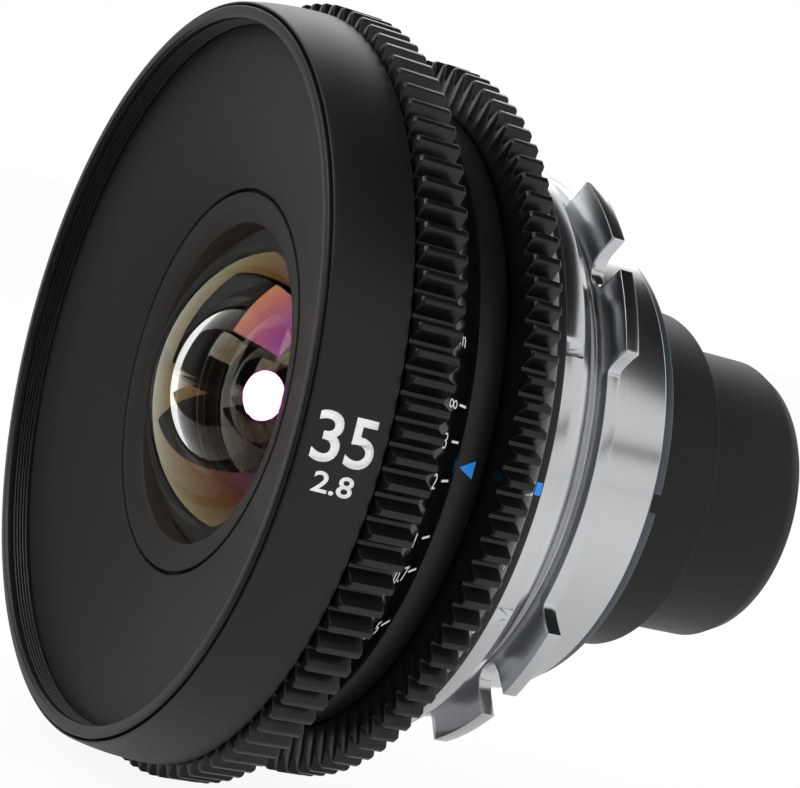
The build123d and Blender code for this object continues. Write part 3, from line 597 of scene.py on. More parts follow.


def meniscus(name, node, curve, clear, edge, hollow_curve, hollow_clear, material):
    """A glass with a domed front face and a hollow rear face."""
    apex, _, rim = stations(node)
    face = dome(curve, clear, apex, 1, 48)
    edge_front = face[-1][1]
    edge_rear = edge_front + edge
    hollow_apex = edge_rear - hollow_curve + sqrt(hollow_curve ** 2 - hollow_clear ** 2)
    hollow = dome(hollow_curve, hollow_clear, hollow_apex, 1, 32)
    outline = face + [(rim, edge_front), (rim, edge_rear)] + hollow[::-1]
    obj = turned(name, outline, GLASS_STEPS, bevel=0, closed=False)
    dressed(obj, "barrel", [node], material)
    blacken(obj, lambda f: reach_of(f.calc_center_median()) > rim - EDGE_MARGIN
            or reach_of(f.calc_center_median()) > hollow_clear
            and f.calc_center_median().y / MM > edge_rear - EDGE_MARGIN)
    obj.data.materials.append(coated_glass("hollow_coating", (1.0, 1.0, 1.0), 0, DIM_COATING))
    paint_faces(obj, 2, lambda f: f.normal.y > 0
                and reach_of(f.calc_center_median()) < hollow_clear)
    return obj


def front_glass():
    meniscus("front_glass", "front_element", FRONT_CURVE, FRONT_CLEAR, FRONT_EDGE,
             FRONT_HOLLOW_CURVE, FRONT_HOLLOW_CLEAR,
             coated_glass("front_coating", (1.0, 1.0, 0.97), FRONT_FILM))
    obj = meniscus("second_glass", "second_element", SECOND_CURVE, SECOND_CLEAR - SECOND_MARGIN,
                   SECOND_EDGE, SECOND_HOLLOW_CURVE, SECOND_HOLLOW_CLEAR,
                   coated_glass("second_coating", (1.0, 0.99, 0.96), 0, DIM_COATING))
    # Painted shade: a black band on the second glass's front face, which darkens the view into the
    # lens.
    paint_faces(obj, 1, lambda f: f.normal.y < 0 and SECOND_CLEAR - SECOND_SHADE_BAND[0]
                < reach_of(f.calc_center_median()) < SECOND_CLEAR - SECOND_SHADE_BAND[1])


# ---------------------------------------------------------------- rings

GEAR_MODULE = 0.8
PRESSURE_ANGLE = radians(20)
ROOT_DEPTH = 1.25           # in modules


def clock_of(place):
    return atan2(place.z, place.x)


def reach_of(place):
    return hypot(place.x, place.z) / MM


def turn(angle):
    """Turn the selection about the axis towards rising clock angles."""
    bpy.ops.transform.rotate(value=angle, orient_axis="Y", center_override=(0, 0, 0))


def spread(factor):
    """Scale the selection away from the axis."""
    bpy.ops.transform.resize(value=(factor, 1, factor), center_override=(0, 0, 0))


def gear(name, node, bore, body, material):
    """A gear ring: a bore circle extruded outwards, its corners made teeth, then extruded."""
    front, rear, tip = stations(node)
    teeth = round(2 * tip / GEAR_MODULE - 2)
    root = tip - (1 + ROOT_DEPTH) * GEAR_MODULE
    half = pi * GEAR_MODULE / 4
    half_tip = (half - GEAR_MODULE * tan(PRESSURE_ANGLE)) / tip
    half_root = (half + ROOT_DEPTH * GEAR_MODULE * tan(PRESSURE_ANGLE)) / root
    quarter = FULL_TURN / teeth / 4
    chamfer = sizes().tooth_chamfer / MM
    deselect()
    bpy.ops.mesh.primitive_circle_add(vertices=4 * teeth, radius=bore * MM)
    obj = bpy.context.object
    obj.name = obj.data.name = name
    obj.rotation_euler = (pi / 2, 0, 0)
    obj.location = (0, front * MM, 0)
    bpy.ops.object.transform_apply()
    edit(obj)
    bpy.ops.mesh.select_all(action="SELECT")
    bpy.ops.mesh.extrude_region_move()
    spread(tip / bore)
    corners = ((tip, -half_tip), (tip, half_tip),
               (root, half_root), (root, 4 * quarter - half_root))
    for k, (radius, place) in enumerate(corners):
        pick(obj, "VERT", lambda v: reach_of(v.co) > (bore + tip) / 2
             and round(clock_of(v.co) / quarter) % 4 == k and abs(reach_of(v.co) - tip) < 0.02
             and abs(clock_of(v.co) / quarter - round(clock_of(v.co) / quarter)) < 0.01)
        turn(place - k * quarter)
        if radius != tip:
            spread(radius / tip)
    bpy.ops.mesh.select_mode(type="FACE")
    bpy.ops.mesh.select_all(action="SELECT")
    for depth in (chamfer, rear - front - 2 * chamfer, chamfer):
        bpy.ops.mesh.extrude_region_move(TRANSFORM_OT_translate={"value": (0, depth * MM, 0)})
    pick(obj, "VERT", lambda v: reach_of(v.co) > (root + tip) / 2
         and (v.co.y < (front + chamfer / 2) * MM or v.co.y > (rear - chamfer / 2) * MM))
    spread((tip - chamfer) / tip)
    bpy.ops.mesh.select_all(action="SELECT")
    bpy.ops.mesh.remove_doubles(threshold=MERGE)
    bpy.ops.mesh.normals_make_consistent(inside=False)
    leave_edit()
    round_edges(obj, sizes().tooth_bevel, 2)
    modifier(obj, "WEIGHTED_NORMAL", keep_sharp=True, weight=80)
    smooth(obj)
    return dressed(obj, body, [node], material)


RING_PLAY = 0.05            # between a ring and what it sits on


def gears():
    sleeve = stations("focus_cam_sleeve")[2]
    barrel = stations("focus_index_ring")[2] - INDEX_WALL
    for name, bore, body in (("focus_gear", sleeve, "focus_ring"),
                             ("iris_gear", barrel, "iris_ring")):
        gear(name, name + "_ring", bore + RING_PLAY, body, gear_black())


INDEX_WALL = 0.7
FOCUS_REAR_EDGE = 0.19      # the band's rear radius over its bore
IRIS_REAR_EDGE = 2.2
BAND_EDGE = 0.2


def scale_bands():
    sleeve = stations("focus_cam_sleeve")[2]
    barrel = stations("focus_index_ring")[2] - INDEX_WALL
    for name, node, bore, edge, body in (
            ("focus_band", "focus_scale_band", sleeve + RING_PLAY, FOCUS_REAR_EDGE, "focus_ring"),
            ("iris_band", "iris_scale_band", barrel + RING_PLAY, IRIS_REAR_EDGE, "iris_ring")):
        front, rear, outer = stations(node)
        outline = [(bore, front), (outer, front), (bore + edge + BAND_EDGE, rear - BAND_EDGE),
                   (bore + edge, rear), (bore, rear)]
        obj = turned(name, outline, bevel=0.06 * MM)
        dressed(obj, body, [node], gloss_black())


def index_rings():
    bore = stations("focus_index_ring")[2] - INDEX_WALL + RING_PLAY
    for name, node in (("focus_index", "focus_index_ring"), ("iris_index", "iris_index_ring")):
        front, rear, outer = stations(node)
        outline = [(bore, front), (outer, front), (outer, rear), (bore, rear)]
        obj = turned(name, outline, bevel=0.14 * MM)
        dressed(obj, "barrel", [node], satin_black())


# ---------------------------------------------------------------- mount

COLLAR_RADIUS = 34.8
COLLAR_REAR = 34.4
COLLAR_LENGTH = 3.0
HOLLOW_LENGTH = 3.8
HOLLOW_SAG = 0.57
FLOOR_RADIUS = 29.6
RIM_STRIP = 31.6
TAB_THICKNESS = 1.6
LOCATING_RADIUS = 27.0
LOCATING_CHAMFER = 0.3
MOUNT_BORE = 22.83
TAB_COUNT = 4
TAB_HALF_SPAN = 22.0        # degrees, at the foot of the tab's hollow ends
RAMP_SPAN = 2.5
RAMP_POWER = 2.0
NOTCH_HALF_SPAN = 3.5
NOTCH_BOTTOM = 30.0
NOTCH_ROUND = 1.95
FIRST_TAB = 45.0
COLUMN = 360.0 / MOUNT_STEPS


def away(angle, middle):
    """Degrees of clock angle past a middle, from -180 to 180."""
    return (degrees(angle) - middle + 180.0) % 360.0 - 180.0


def mount():
    """The mount and its tabs, which reach out as far as the collar here."""
    front, rear, tab = stations("lens_mount")
    collar_end = front + COLLAR_LENGTH
    hollow = arc((COLLAR_REAR, collar_end), (FLOOR_RADIUS, collar_end + HOLLOW_LENGTH),
                 -HOLLOW_SAG, 16)
    outline = ([(MOUNT_BORE, front), (COLLAR_RADIUS, front)] + hollow
               + [(FLOOR_RADIUS, -TAB_THICKNESS), (RIM_STRIP, -TAB_THICKNESS), (RIM_STRIP, 0),
                  (LOCATING_RADIUS, 0), (LOCATING_RADIUS, rear - LOCATING_CHAMFER),
                  (LOCATING_RADIUS - LOCATING_CHAMFER, rear),
                  (MOUNT_BORE, rear)])
    obj = spin(draw("lens_mount_dressed", outline), MOUNT_STEPS)
    edit(obj)
    for n in range(TAB_COUNT):
        middle = FIRST_TAB + n * 360.0 / TAB_COUNT

        def on_rim(place):
            return (abs(reach_of(place) - RIM_STRIP) < 0.03
                    and -TAB_THICKNESS - 0.01 < place.y / MM < 0.01)

        pick(obj, "FACE", lambda f: on_rim(f.calc_center_median()) and abs(f.normal.y) < 0.1
             and NOTCH_HALF_SPAN < abs(away(clock_of(f.calc_center_median()), middle))
             < TAB_HALF_SPAN)
        bpy.ops.mesh.extrude_region_move()
        spread(tab / RIM_STRIP)
        for k in range(round(RAMP_SPAN / COLUMN)):
            share = k * COLUMN / RAMP_SPAN
            wanted = RIM_STRIP + (tab - RIM_STRIP) * share ** RAMP_POWER
            place = TAB_HALF_SPAN - k * COLUMN
            # This goes by radius alone, so it also takes corners of the collar's front edge.
            pick(obj, "VERT", lambda v: abs(reach_of(v.co) - tab) < 0.05
                 and abs(abs(away(clock_of(v.co), middle)) - place) < COLUMN / 4)
            spread(wanted / tab)
        columns = round(NOTCH_HALF_SPAN / COLUMN)
        for k in range(-columns, columns + 1):
            across = min(NOTCH_ROUND, abs(RIM_STRIP * sin(radians(k * COLUMN))) * NOTCH_ROUND
                         / (RIM_STRIP * sin(radians(NOTCH_HALF_SPAN))))
            wanted = NOTCH_BOTTOM + NOTCH_ROUND - sqrt(NOTCH_ROUND ** 2 - across ** 2)
            pick(obj, "VERT", lambda v: on_rim(v.co)
                 and abs(away(clock_of(v.co), middle) - k * COLUMN) < COLUMN / 4)
            spread(wanted / RIM_STRIP)
    bpy.ops.mesh.select_all(action="SELECT")
    bpy.ops.mesh.remove_doubles(threshold=MERGE)
    bpy.ops.mesh.dissolve_degenerate(threshold=MERGE)
    bpy.ops.mesh.normals_make_consistent(inside=False)
    leave_edit()
    round_edges(obj, sizes().edge_bevel, 2)
    modifier(obj, "WEIGHTED_NORMAL", keep_sharp=True, weight=80)
    smooth(obj)
    dressed(obj, "barrel", ["lens_mount"], plated_silver())


SPANNER_BAR = (2.2, 1.8, 2.0)   # radii of the ring across, then mm along the axis and wide


def notched(obj, outer, rear):
    """Cut two notches for a pin spanner across the rear face of a threaded ring."""
    deselect()
    bpy.ops.mesh.primitive_cube_add(size=1)
    bar = bpy.context.object
    bar.scale = (SPANNER_BAR[0] * outer * MM, SPANNER_BAR[1] * MM, SPANNER_BAR[2] * MM)
    bar.location = (0, rear * MM, 0)
    bpy.ops.object.transform_apply()
    modifier(obj, "BOOLEAN", operation="DIFFERENCE", solver="EXACT", object=bar)
    bpy.data.objects.remove(bar)


def notched_ring(name, node, inner, material):
    front, rear, outer = stations(node)
    obj = spin(draw(name, [(inner, front), (outer, front), (outer, rear), (inner, rear)]), 192)
    notched(obj, outer, rear)
    round_edges(obj, 0.12 * MM, 2)
    modifier(obj, "WEIGHTED_NORMAL", keep_sharp=True, weight=80)
    smooth(obj)
    return dressed(obj, "barrel", [node], material)


def lock_ring():
    notched_ring("mount_lock", "mount_lock_ring", MOUNT_BORE, lock_black())


REAR_BORE = 14.5
REAR_STEP_LENGTH = 10.8
REAR_SHOULDER = 1.0
REAR_TAIL_RADIUS = 16.85
REAR_END_TAPER = 1.9
REAR_END_STEP = 0.85
REAR_STEP_RADIUS = 20.0
REAR_SPIGOT_LENGTH = 5.65


def rear_barrel():
    front, rear, spigot = stations("rear_barrel")
    step_front = front + REAR_SPIGOT_LENGTH
    step_rear = stations("mount_lock_ring")[1] + REAR_STEP_LENGTH
    tail_front = step_rear + REAR_SHOULDER
    tail_rear = rear - REAR_END_TAPER
    outline = [(REAR_BORE, front), (spigot, front), (spigot, step_front),
               (REAR_STEP_RADIUS, step_front), (REAR_STEP_RADIUS, step_rear),
               (REAR_TAIL_RADIUS, tail_front), (REAR_TAIL_RADIUS, tail_rear),
               (REAR_TAIL_RADIUS - REAR_END_STEP, rear), (REAR_BORE, rear)]
    obj = turned("rear_barrel_dressed", outline, bevel=0.12 * MM)
    dressed(obj, "barrel", ["rear_barrel"], matte_black())


REAR_RING_INNER = 10.12
REAR_CURVE = 25.3
REAR_FRONT_CURVE = 39.1
REAR_FILM = 110


def rear_glass():
    notched_ring("rear_ring", "rear_retaining_ring", REAR_RING_INNER,
                 matte_black())
    front, rear, rim = stations("rear_element")
    clear = REAR_RING_INNER
    face = dome(REAR_CURVE, clear, rear, -1, 32)
    hollow_rise = REAR_FRONT_CURVE - sqrt(REAR_FRONT_CURVE ** 2 - clear ** 2)
    hollow = dome(REAR_FRONT_CURVE, clear, front + hollow_rise, -1, 24)
    outline = face + [(rim, face[-1][1]), (rim, front)] + hollow[::-1]
    obj = turned("rear_glass", outline, GLASS_STEPS, bevel=0, closed=False)
    dressed(obj, "barrel", ["rear_element"],
            coated_glass("rear_coating", (1, 1, 1), REAR_FILM))


# ---------------------------------------------------------------- marks

MARK_LIFT = 0.4             # Solidify's offset, from -1 (all below the surface) to 1 (all above)
MARK_SLICE = 0.5            # length of the pieces that a numeral is cut into, so that it bends
MARK_CUTS = 3               # the same for lines and triangles
CAP_SHARE = 0.73            # height of a numeral, as a share of the font's size
STAND_OFF = 50.0            # flat marks start this far from the axis


def settle(obj, carrier, clock):
    """Lay a flat mark, which faces +X, on its carrier, thicken it and turn it to its clock."""
    deselect()
    obj.select_set(True)
    bpy.context.view_layer.objects.active = obj
    bpy.ops.object.transform_apply()
    modifier(obj, "SHRINKWRAP", wrap_method="PROJECT", use_project_x=True, use_project_y=False,
             use_project_z=False, use_negative_direction=True, use_positive_direction=False,
             target=bpy.data.objects[carrier])
    modifier(obj, "SOLIDIFY", thickness=sizes().paint_depth, offset=MARK_LIFT,
             use_even_offset=False)
    obj.rotation_euler = (0, -radians(clock), 0)
    deselect()
    obj.select_set(True)
    bpy.context.view_layer.objects.active = obj
    bpy.ops.object.transform_apply()
    return obj


def slices(obj, pitch, low, high):
    """Split a flat mark along its length, so that it bends with the surface."""
    edit(obj)
    place = low + pitch
    while place < high:
        bpy.ops.mesh.select_all(action="SELECT")
        bpy.ops.mesh.bisect(plane_co=(0, 0, place), plane_no=(0, 0, 1))
        place += pitch
    leave_edit()


def lettering(text, height, clock, station, carrier, squeeze=1.0, weight=0.0):
    """Plain characters that read rearwards, their middle at a station and a clock angle."""
    deselect()
    bpy.ops.object.text_add()
    obj = bpy.context.object
    obj.data.body = text
    obj.data.size = height / CAP_SHARE * MM
    obj.data.offset = weight * MM
    obj.data.align_x = "CENTER"
    obj.data.align_y = "BOTTOM_BASELINE"
    obj.data.resolution_u = 5
    bpy.ops.object.convert(target="MESH")
    obj = bpy.context.object
    obj.scale = (squeeze, 1, 1)
    obj.location = (0, -height / 2 * MM, 0)
    bpy.ops.object.transform_apply()
    obj.rotation_euler = (pi / 2, 0, pi / 2)
    obj.location = (STAND_OFF * MM, station * MM, 0)
    bpy.ops.object.transform_apply()
    slices(obj, MARK_SLICE * MM, -height * MM, height * MM)
    return settle(obj, carrier, clock)


def stroke(from_station, to_station, width, clock, carrier):
    """A straight line along the axis."""
    deselect()
    bpy.ops.mesh.primitive_plane_add(size=1)
    obj = bpy.context.object
    obj.scale = ((to_station - from_station) * MM, width * MM, 1)
    bpy.ops.object.transform_apply()
    edit(obj)
    bpy.ops.mesh.subdivide(number_cuts=MARK_CUTS)
    leave_edit()
    obj.rotation_euler = (pi / 2, 0, pi / 2)
    obj.location = (STAND_OFF * MM, (from_station + to_station) / 2 * MM, 0)
    return settle(obj, carrier, clock)


def arrow(tip, base, half, clock, carrier):
    """A filled triangle that points forwards."""
    deselect()
    bpy.ops.mesh.primitive_circle_add(vertices=3, radius=1, fill_type="NGON")
    obj = bpy.context.object
    obj.rotation_euler = (0, 0, pi / 2)
    bpy.ops.object.transform_apply()
    across = [v.co.y for v in obj.data.vertices]
    along = [v.co.x for v in obj.data.vertices]
    obj.location = (-(max(along) + min(along)) / 2, 0, 0)
    bpy.ops.object.transform_apply()
    obj.scale = ((base - tip) * MM / (max(along) - min(along)),
                 2 * half * MM / (max(across) - min(across)), 1)
    bpy.ops.object.transform_apply()
    obj.rotation_euler = (pi / 2, 0, pi / 2)
    obj.location = (STAND_OFF * MM, (tip + base) / 2 * MM, 0)
    bpy.ops.object.transform_apply()
    edit(obj)
    bpy.ops.mesh.select_all(action="SELECT")
    bpy.ops.mesh.quads_convert_to_tris()
    bpy.ops.mesh.subdivide(number_cuts=MARK_CUTS)
    leave_edit()
    return settle(obj, carrier, clock)


def one_piece(name, marks, body, material):
    """Join marks of one colour on one body."""
    deselect()
    for mark in marks:
        mark.select_set(True)
    bpy.context.view_layer.objects.active = marks[0]
    if len(marks) > 1:
        bpy.ops.object.join()
    obj = bpy.context.object
    obj.name = obj.data.name = name
    edit(obj)
    bpy.ops.mesh.select_all(action="SELECT")
    bpy.ops.mesh.normals_make_consistent(inside=False)
    leave_edit()
    obj.data.materials.clear()
    obj.data.materials.append(material)
    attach(obj, body)
    return obj


# Clock angles of the distance scale, from the infinity mark round to the closest.
DISTANCES = (("m", 18.6), ("\u221e", 9.2), ("3", 3.75), ("2", -2.2), ("1", -11.2),
             ("0.7", -16.8), ("0.5", -26.7))
DISTANCE_SQUEEZE = 0.8      # width of the characters, as a share of the font's
OPENINGS = ("2.8", "4", "5.6", "8", "11", "16")
OPENING_STEP = 12.0
OPENING_SQUEEZE = 0.6
OPENING_SHIFT = 0.1         # in front of the band's middle
TICK_START = 2.08           # in front of the band's rear edge
TICK_END = 0.8
NUMBER_PLACE = 3.35
THIN = -0.02                # changes of the font's stroke
BOLD = 0.09


def focus_marks():
    rear = stations("focus_scale_band")[1]
    white = paint("white_paint", finishes().mark_white)
    height = sizes().scale_numeral / MM
    width = sizes().line_width / MM
    marks = []
    for text, clock in DISTANCES:
        marks.append(lettering(text, height, clock, rear - NUMBER_PLACE, "focus_band",
                               DISTANCE_SQUEEZE, THIN))
        if text != "m":
            marks.append(stroke(rear - TICK_START, rear - TICK_END, width, clock, "focus_band"))
    one_piece("distance_scale", marks, "focus_ring", white)


def iris_marks():
    front, rear, _ = stations("iris_scale_band")
    white = paint("white_paint", finishes().mark_white)
    height = sizes().iris_numeral / MM
    marks = []
    for k, text in enumerate(OPENINGS):
        clock = INDEX_CLOCK - k * OPENING_STEP
        marks.append(lettering(text, height, clock, (front + rear) / 2 - OPENING_SHIFT,
                               "iris_band", OPENING_SQUEEZE, THIN))
    one_piece("iris_scale", marks, "iris_ring", white)


ARROW_TIP = 0.42            # behind the front edge of the focus index ring
ARROW_BASE = 2.07
ARROW_HALF = 0.91
INDEX_CLOCK = -0.43
INDEX_HEIGHT = 1.3
INDEX_MARGIN = 0.2          # left bare at both ends of the rear ring's mark


def index_marks():
    front = stations("focus_index_ring")[0]
    blue = paint("blue_paint", finishes().mark_blue)
    back_front, back_rear, _ = stations("iris_index_ring")
    marks = [arrow(front + ARROW_TIP, front + ARROW_BASE, ARROW_HALF, 0.0, "focus_index"),
             stroke(back_front + INDEX_MARGIN, back_rear - INDEX_MARGIN, INDEX_HEIGHT,
                    INDEX_CLOCK, "iris_index")]
    one_piece("index_marks", marks, "barrel", blue)


NUMERAL_PLACE = 4.1         # behind the front edge of the shell
NUMERALS = (("35", "big_numeral", 1.0, 1.0, BOLD),      # text, size, clock, stretch, stroke
            ("2.8", "small_numeral", -5.15, 1.2, BOLD / 2))


def shell_marks():
    front = stations("front_shell")[0]
    white = paint("white_paint", finishes().mark_white)
    marks = [lettering(text, getattr(sizes(), size) / MM, clock, front + NUMERAL_PLACE,
                       "front_shell_dressed", stretch, weight)
             for text, size, clock, stretch, weight in NUMERALS]
    one_piece("shell_numbers", marks, "barrel", white)


# ---------------------------------------------------------------- inside and stage

INNER_FILM = 107
INNER_FINISH = {
    "matte_black": (
        "main_barrel", "front_cell", "focus_cell", "middle_cell", "rear_lens_tube",
        "iris_housing", "focus_spacer", "middle_front_spacer", "middle_rear_spacer",
        "rear_first_spacer", "rear_second_spacer", "rear_third_spacer", "iris_keeper_ring",
        "focus_retaining_ring", "middle_retaining_ring", "second_retaining_ring"),
    "brass": ("focus_cam_sleeve", "iris_actuator_ring", "flange_shim"),
    "bare_steel": ("focus_band_screws", "follower_pins", "iris_drive_pin", "mount_dowel"),
    "blade_steel": tuple(f"iris_blade_{k}" for k in range(1, 6)),
    "inner_coating": (
        "focus_front_element", "focus_rear_element", "middle_front_element", "middle_element",
        "middle_rear_element", "rear_group_first_element", "rear_group_second_element",
        "rear_group_third_element"),
}


def inner_nodes():
    """Finishes for the CAD nodes that are carried over as they are."""
    makers = {"matte_black": matte_black, "brass": brass, "bare_steel": bare_steel,
              "blade_steel": blade_steel,
              "inner_coating": lambda: coated_glass("inner_coating", (1.0, 1.0, 1.0), INNER_FILM)}
    for finish, nodes in INNER_FINISH.items():
        material = makers[finish]()
        for node in nodes:
            obj = frame["nodes"][node]
            if not obj.material_slots:
                obj.data.materials.append(material)
            for place in obj.material_slots:
                place.material = material


CAMERA_RIGHT = Vector((0.441285, 0.858487, 0.261279))
CAMERA_UP = Vector((-0.16821, -0.206866, 0.963801))
CAMERA_BACK = Vector((0.88146, -0.469261, 0.053119))
CAMERA_PLACE = Vector((240.9, -137.066, 17.989))
CAMERA_LENS = 109.7212


def camera():
    data = bpy.data.cameras.new("camera")
    data.lens = CAMERA_LENS
    data.sensor_width = 36.0
    data.sensor_fit = "HORIZONTAL"
    data.clip_start = 0.01
    data.clip_end = 20.0
    obj = bpy.data.objects.new("camera", data)
    bpy.context.scene.collection.objects.link(obj)
    turned_to = Matrix((CAMERA_RIGHT, CAMERA_UP, CAMERA_BACK)).transposed().to_4x4()
    obj.matrix_world = Matrix.Translation(CAMERA_PLACE * MM) @ turned_to
    bpy.context.scene.camera = obj


def toward(azimuth, height, reach):
    """A place at a distance from the lens: azimuth runs from the front (-Y) towards +X."""
    turn_to, rise = radians(azimuth), radians(height)
    return Vector((sin(turn_to) * cos(rise), -cos(turn_to) * cos(rise), sin(rise))) * reach


def softbox(name, place, width, height, power, glossy=True):
    """A rectangular soft light that looks at the lens."""
    deselect()
    bpy.ops.object.light_add(type="AREA", location=place)
    obj = bpy.context.object
    obj.name = name
    obj.data.shape = "RECTANGLE"
    obj.data.size = width
    obj.data.size_y = height
    obj.data.energy = power
    obj.rotation_euler = (-place).to_track_quat("-Z", "Y").to_euler()
    obj.visible_glossy = glossy


def larger(tree, first, second):
    node = tree.nodes.new("ShaderNodeMath")
    node.operation = "MAXIMUM"
    tree.links.new(first, node.inputs[0])
    tree.links.new(second, node.inputs[1])
    return node.outputs["Value"]


def share(tree, source, factor):
    node = tree.nodes.new("ShaderNodeMath")
    node.operation = "MULTIPLY"
    node.inputs[1].default_value = factor
    tree.links.new(source, node.inputs[0])
    return node.outputs["Value"]


def seen_directly(tree, reflected=1.0):
    """1 for camera rays, a share for glossy and transmitted rays, and 0 for diffuse ones."""
    path = tree.nodes.new("ShaderNodeLightPath")
    mirrored = larger(tree, path.outputs["Is Glossy Ray"], path.outputs["Is Transmission Ray"])
    return larger(tree, path.outputs["Is Camera Ray"], share(tree, mirrored, reflected))


def sky():
    """White behind the object and in its reflections, dimmer as light."""
    world = bpy.data.worlds.new("studio")
    bpy.context.scene.world = world
    world.use_nodes = True
    tree = world.node_tree
    background = tree.nodes["Background"]
    background.inputs["Color"].default_value = (1, 1, 1, 1)
    scale = tree.nodes.new("ShaderNodeMapRange")
    scale.inputs["To Min"].default_value = bpy.context.scene.lens_stage.sky_light
    scale.inputs["To Max"].default_value = 1.0
    tree.links.new(seen_directly(tree), scale.inputs["Value"])
    tree.links.new(scale.outputs["Result"], background.inputs["Strength"])


FLOOR_LIFT = 0.92           # how much of the floor's seen colour is plain white
FLOOR_REFLECTED = 0.35      # the same in reflections, as a share of that


def floor(settings):
    """A pale floor that keeps the object's shadow and is lifted to white where it is seen."""
    low = min(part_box(node)[0].z for node in frame["nodes"])
    deselect()
    bpy.ops.mesh.primitive_plane_add(size=20, location=(0, 0, low - 0.2 * MM))
    obj = bpy.context.object
    obj.name = "floor"
    material, node = shader("floor", settings.floor_white, 0.9)
    tree = material.node_tree
    glow = add(material, "ShaderNodeEmission")
    mix = add(material, "ShaderNodeMixShader")
    join(material, share(tree, seen_directly(tree, FLOOR_REFLECTED), FLOOR_LIFT), mix.inputs[0])
    join(material, node.outputs["BSDF"], mix.inputs[1])
    join(material, glow.outputs["Emission"], mix.inputs[2])
    join(material, mix.outputs["Shader"], tree.nodes["Material Output"].inputs["Surface"])
    obj.data.materials.append(material)
    return obj.location.z


GLASS_SPOT = Vector((0.007, -0.034, -0.001))    # where the front glass mirrors the lamp
LAMP_PLACE = (13.5, 0.5, 0.185)     # azimuth, height and distance from there
LAMP_RADIUS = 0.0425


def glass_lamp(place, radius, strength):
    """A round lamp that lights nothing but the front glass, which mirrors it as a white spot."""
    deselect()
    bpy.ops.mesh.primitive_circle_add(vertices=48, radius=radius, fill_type="NGON", location=place)
    obj = bpy.context.object
    obj.name = "glass_lamp"
    obj.rotation_euler = (GLASS_SPOT - place).to_track_quat("-Z", "Y").to_euler()
    material = shader("lamp_white", (0, 0, 0), 1.0, Emission_Strength=strength)[0]
    obj.data.materials.append(material)
    lit = bpy.data.collections.new("lit_by_glass_lamp")
    lit.objects.link(bpy.data.objects["front_glass"])
    obj.light_linking.receiver_collection = lit
    obj.visible_camera = obj.visible_diffuse = False
    obj.visible_transmission = obj.visible_shadow = False


def card(name, place, width, height, facing=(0, 0, 0)):
    """A black card that only shows in reflections and through glass."""
    deselect()
    bpy.ops.mesh.primitive_plane_add(size=1, location=place)
    obj = bpy.context.object
    obj.name = name
    obj.scale = (width, height, 1)
    direction = Vector(facing) - Vector(place)
    obj.rotation_euler = direction.to_track_quat("-Z", "Y").to_euler()
    obj.data.materials.append(shader("black_card", (0.002, 0.002, 0.002), 1.0)[0])
    obj.visible_camera = obj.visible_diffuse = obj.visible_shadow = False


def stage():
    scene = bpy.context.scene
    settings = scene.lens_stage
    scene.view_settings.view_transform = "Standard"
    ground = floor(settings)
    sky()
    camera()
    softbox("edge_softbox", toward(-118, 42, 0.8), 0.5, 0.5, settings.edge_light)
    softbox("fill_softbox", toward(110, 30, 1.0), 0.6, 0.6, settings.fill_light, glossy=False)
    softbox("glass_softbox", toward(-6, 33, 0.8), 0.5, 0.36, settings.glass_light)
    glass_lamp(GLASS_SPOT + toward(*LAMP_PLACE), LAMP_RADIUS, settings.lamp_strength)
    card("ceiling_card", Vector((0.11, 0.25, 0.45)), 0.78, 0.7, (0.11, 0.25, 0))
    card("front_card", Vector((-0.3, -0.9, 0.5)), 3.0, 1.1, (-0.3, 0, 0.5))
    card("ground_card", Vector((0.155, -0.7, ground + MM)), 0.59, 1.25, (0.155, -0.7, -1))
    card("ground_card_left", Vector((-0.34, -0.85, ground + MM)), 0.4, 0.95, (-0.34, -0.85, -1))
    card("strip_card", toward(125, 13, 1.0), 0.8, 0.07)


# ---------------------------------------------------------------- operators


class PieceOperator:
    """One step of the build."""
    bl_options = {"REGISTER", "UNDO"}
    steps = ()

    def execute(self, context):
        for step in self.steps:
            step()
        return {"FINISHED"}


class LENS_OT_front_rim(PieceOperator, bpy.types.Operator):
    """Model the threaded front rim ring"""
    bl_idname = "lens.front_rim"
    bl_label = "Front rim"
    steps = (front_rim,)


class LENS_OT_front_shell(PieceOperator, bpy.types.Operator):
    """Model the front shell"""
    bl_idname = "lens.front_shell"
    bl_label = "Front shell"
    steps = (shell,)


class LENS_OT_front_plate(PieceOperator, bpy.types.Operator):
    """Model the conical plate round the glass"""
    bl_idname = "lens.front_plate"
    bl_label = "Front plate"
    steps = (plate,)


class LENS_OT_glass_bezel(PieceOperator, bpy.types.Operator):
    """Model the ring that holds the front glass"""
    bl_idname = "lens.glass_bezel"
    bl_label = "Glass bezel"
    steps = (bezel,)


class LENS_OT_front_glass(PieceOperator, bpy.types.Operator):
    """Model the two front glasses"""
    bl_idname = "lens.front_glass"
    bl_label = "Front glass"
    steps = (front_glass,)


class LENS_OT_gears(PieceOperator, bpy.types.Operator):
    """Model the focus and iris gears"""
    bl_idname = "lens.gears"
    bl_label = "Gear rings"
    steps = (gears,)


class LENS_OT_scale_bands(PieceOperator, bpy.types.Operator):
    """Model the conical focus and iris scale bands"""
    bl_idname = "lens.scale_bands"
    bl_label = "Scale bands"
    steps = (scale_bands,)


class LENS_OT_index_rings(PieceOperator, bpy.types.Operator):
    """Model the two fixed rings that carry the index marks"""
    bl_idname = "lens.index_rings"
    bl_label = "Index rings"
    steps = (index_rings,)


class LENS_OT_mount(PieceOperator, bpy.types.Operator):
    """Model the plated mount with its four notched tabs"""
    bl_idname = "lens.mount"
    bl_label = "Mount"
    steps = (mount,)


class LENS_OT_lock_ring(PieceOperator, bpy.types.Operator):
    """Model the black ring behind the mount"""
    bl_idname = "lens.lock_ring"
    bl_label = "Mount lock ring"
    steps = (lock_ring,)


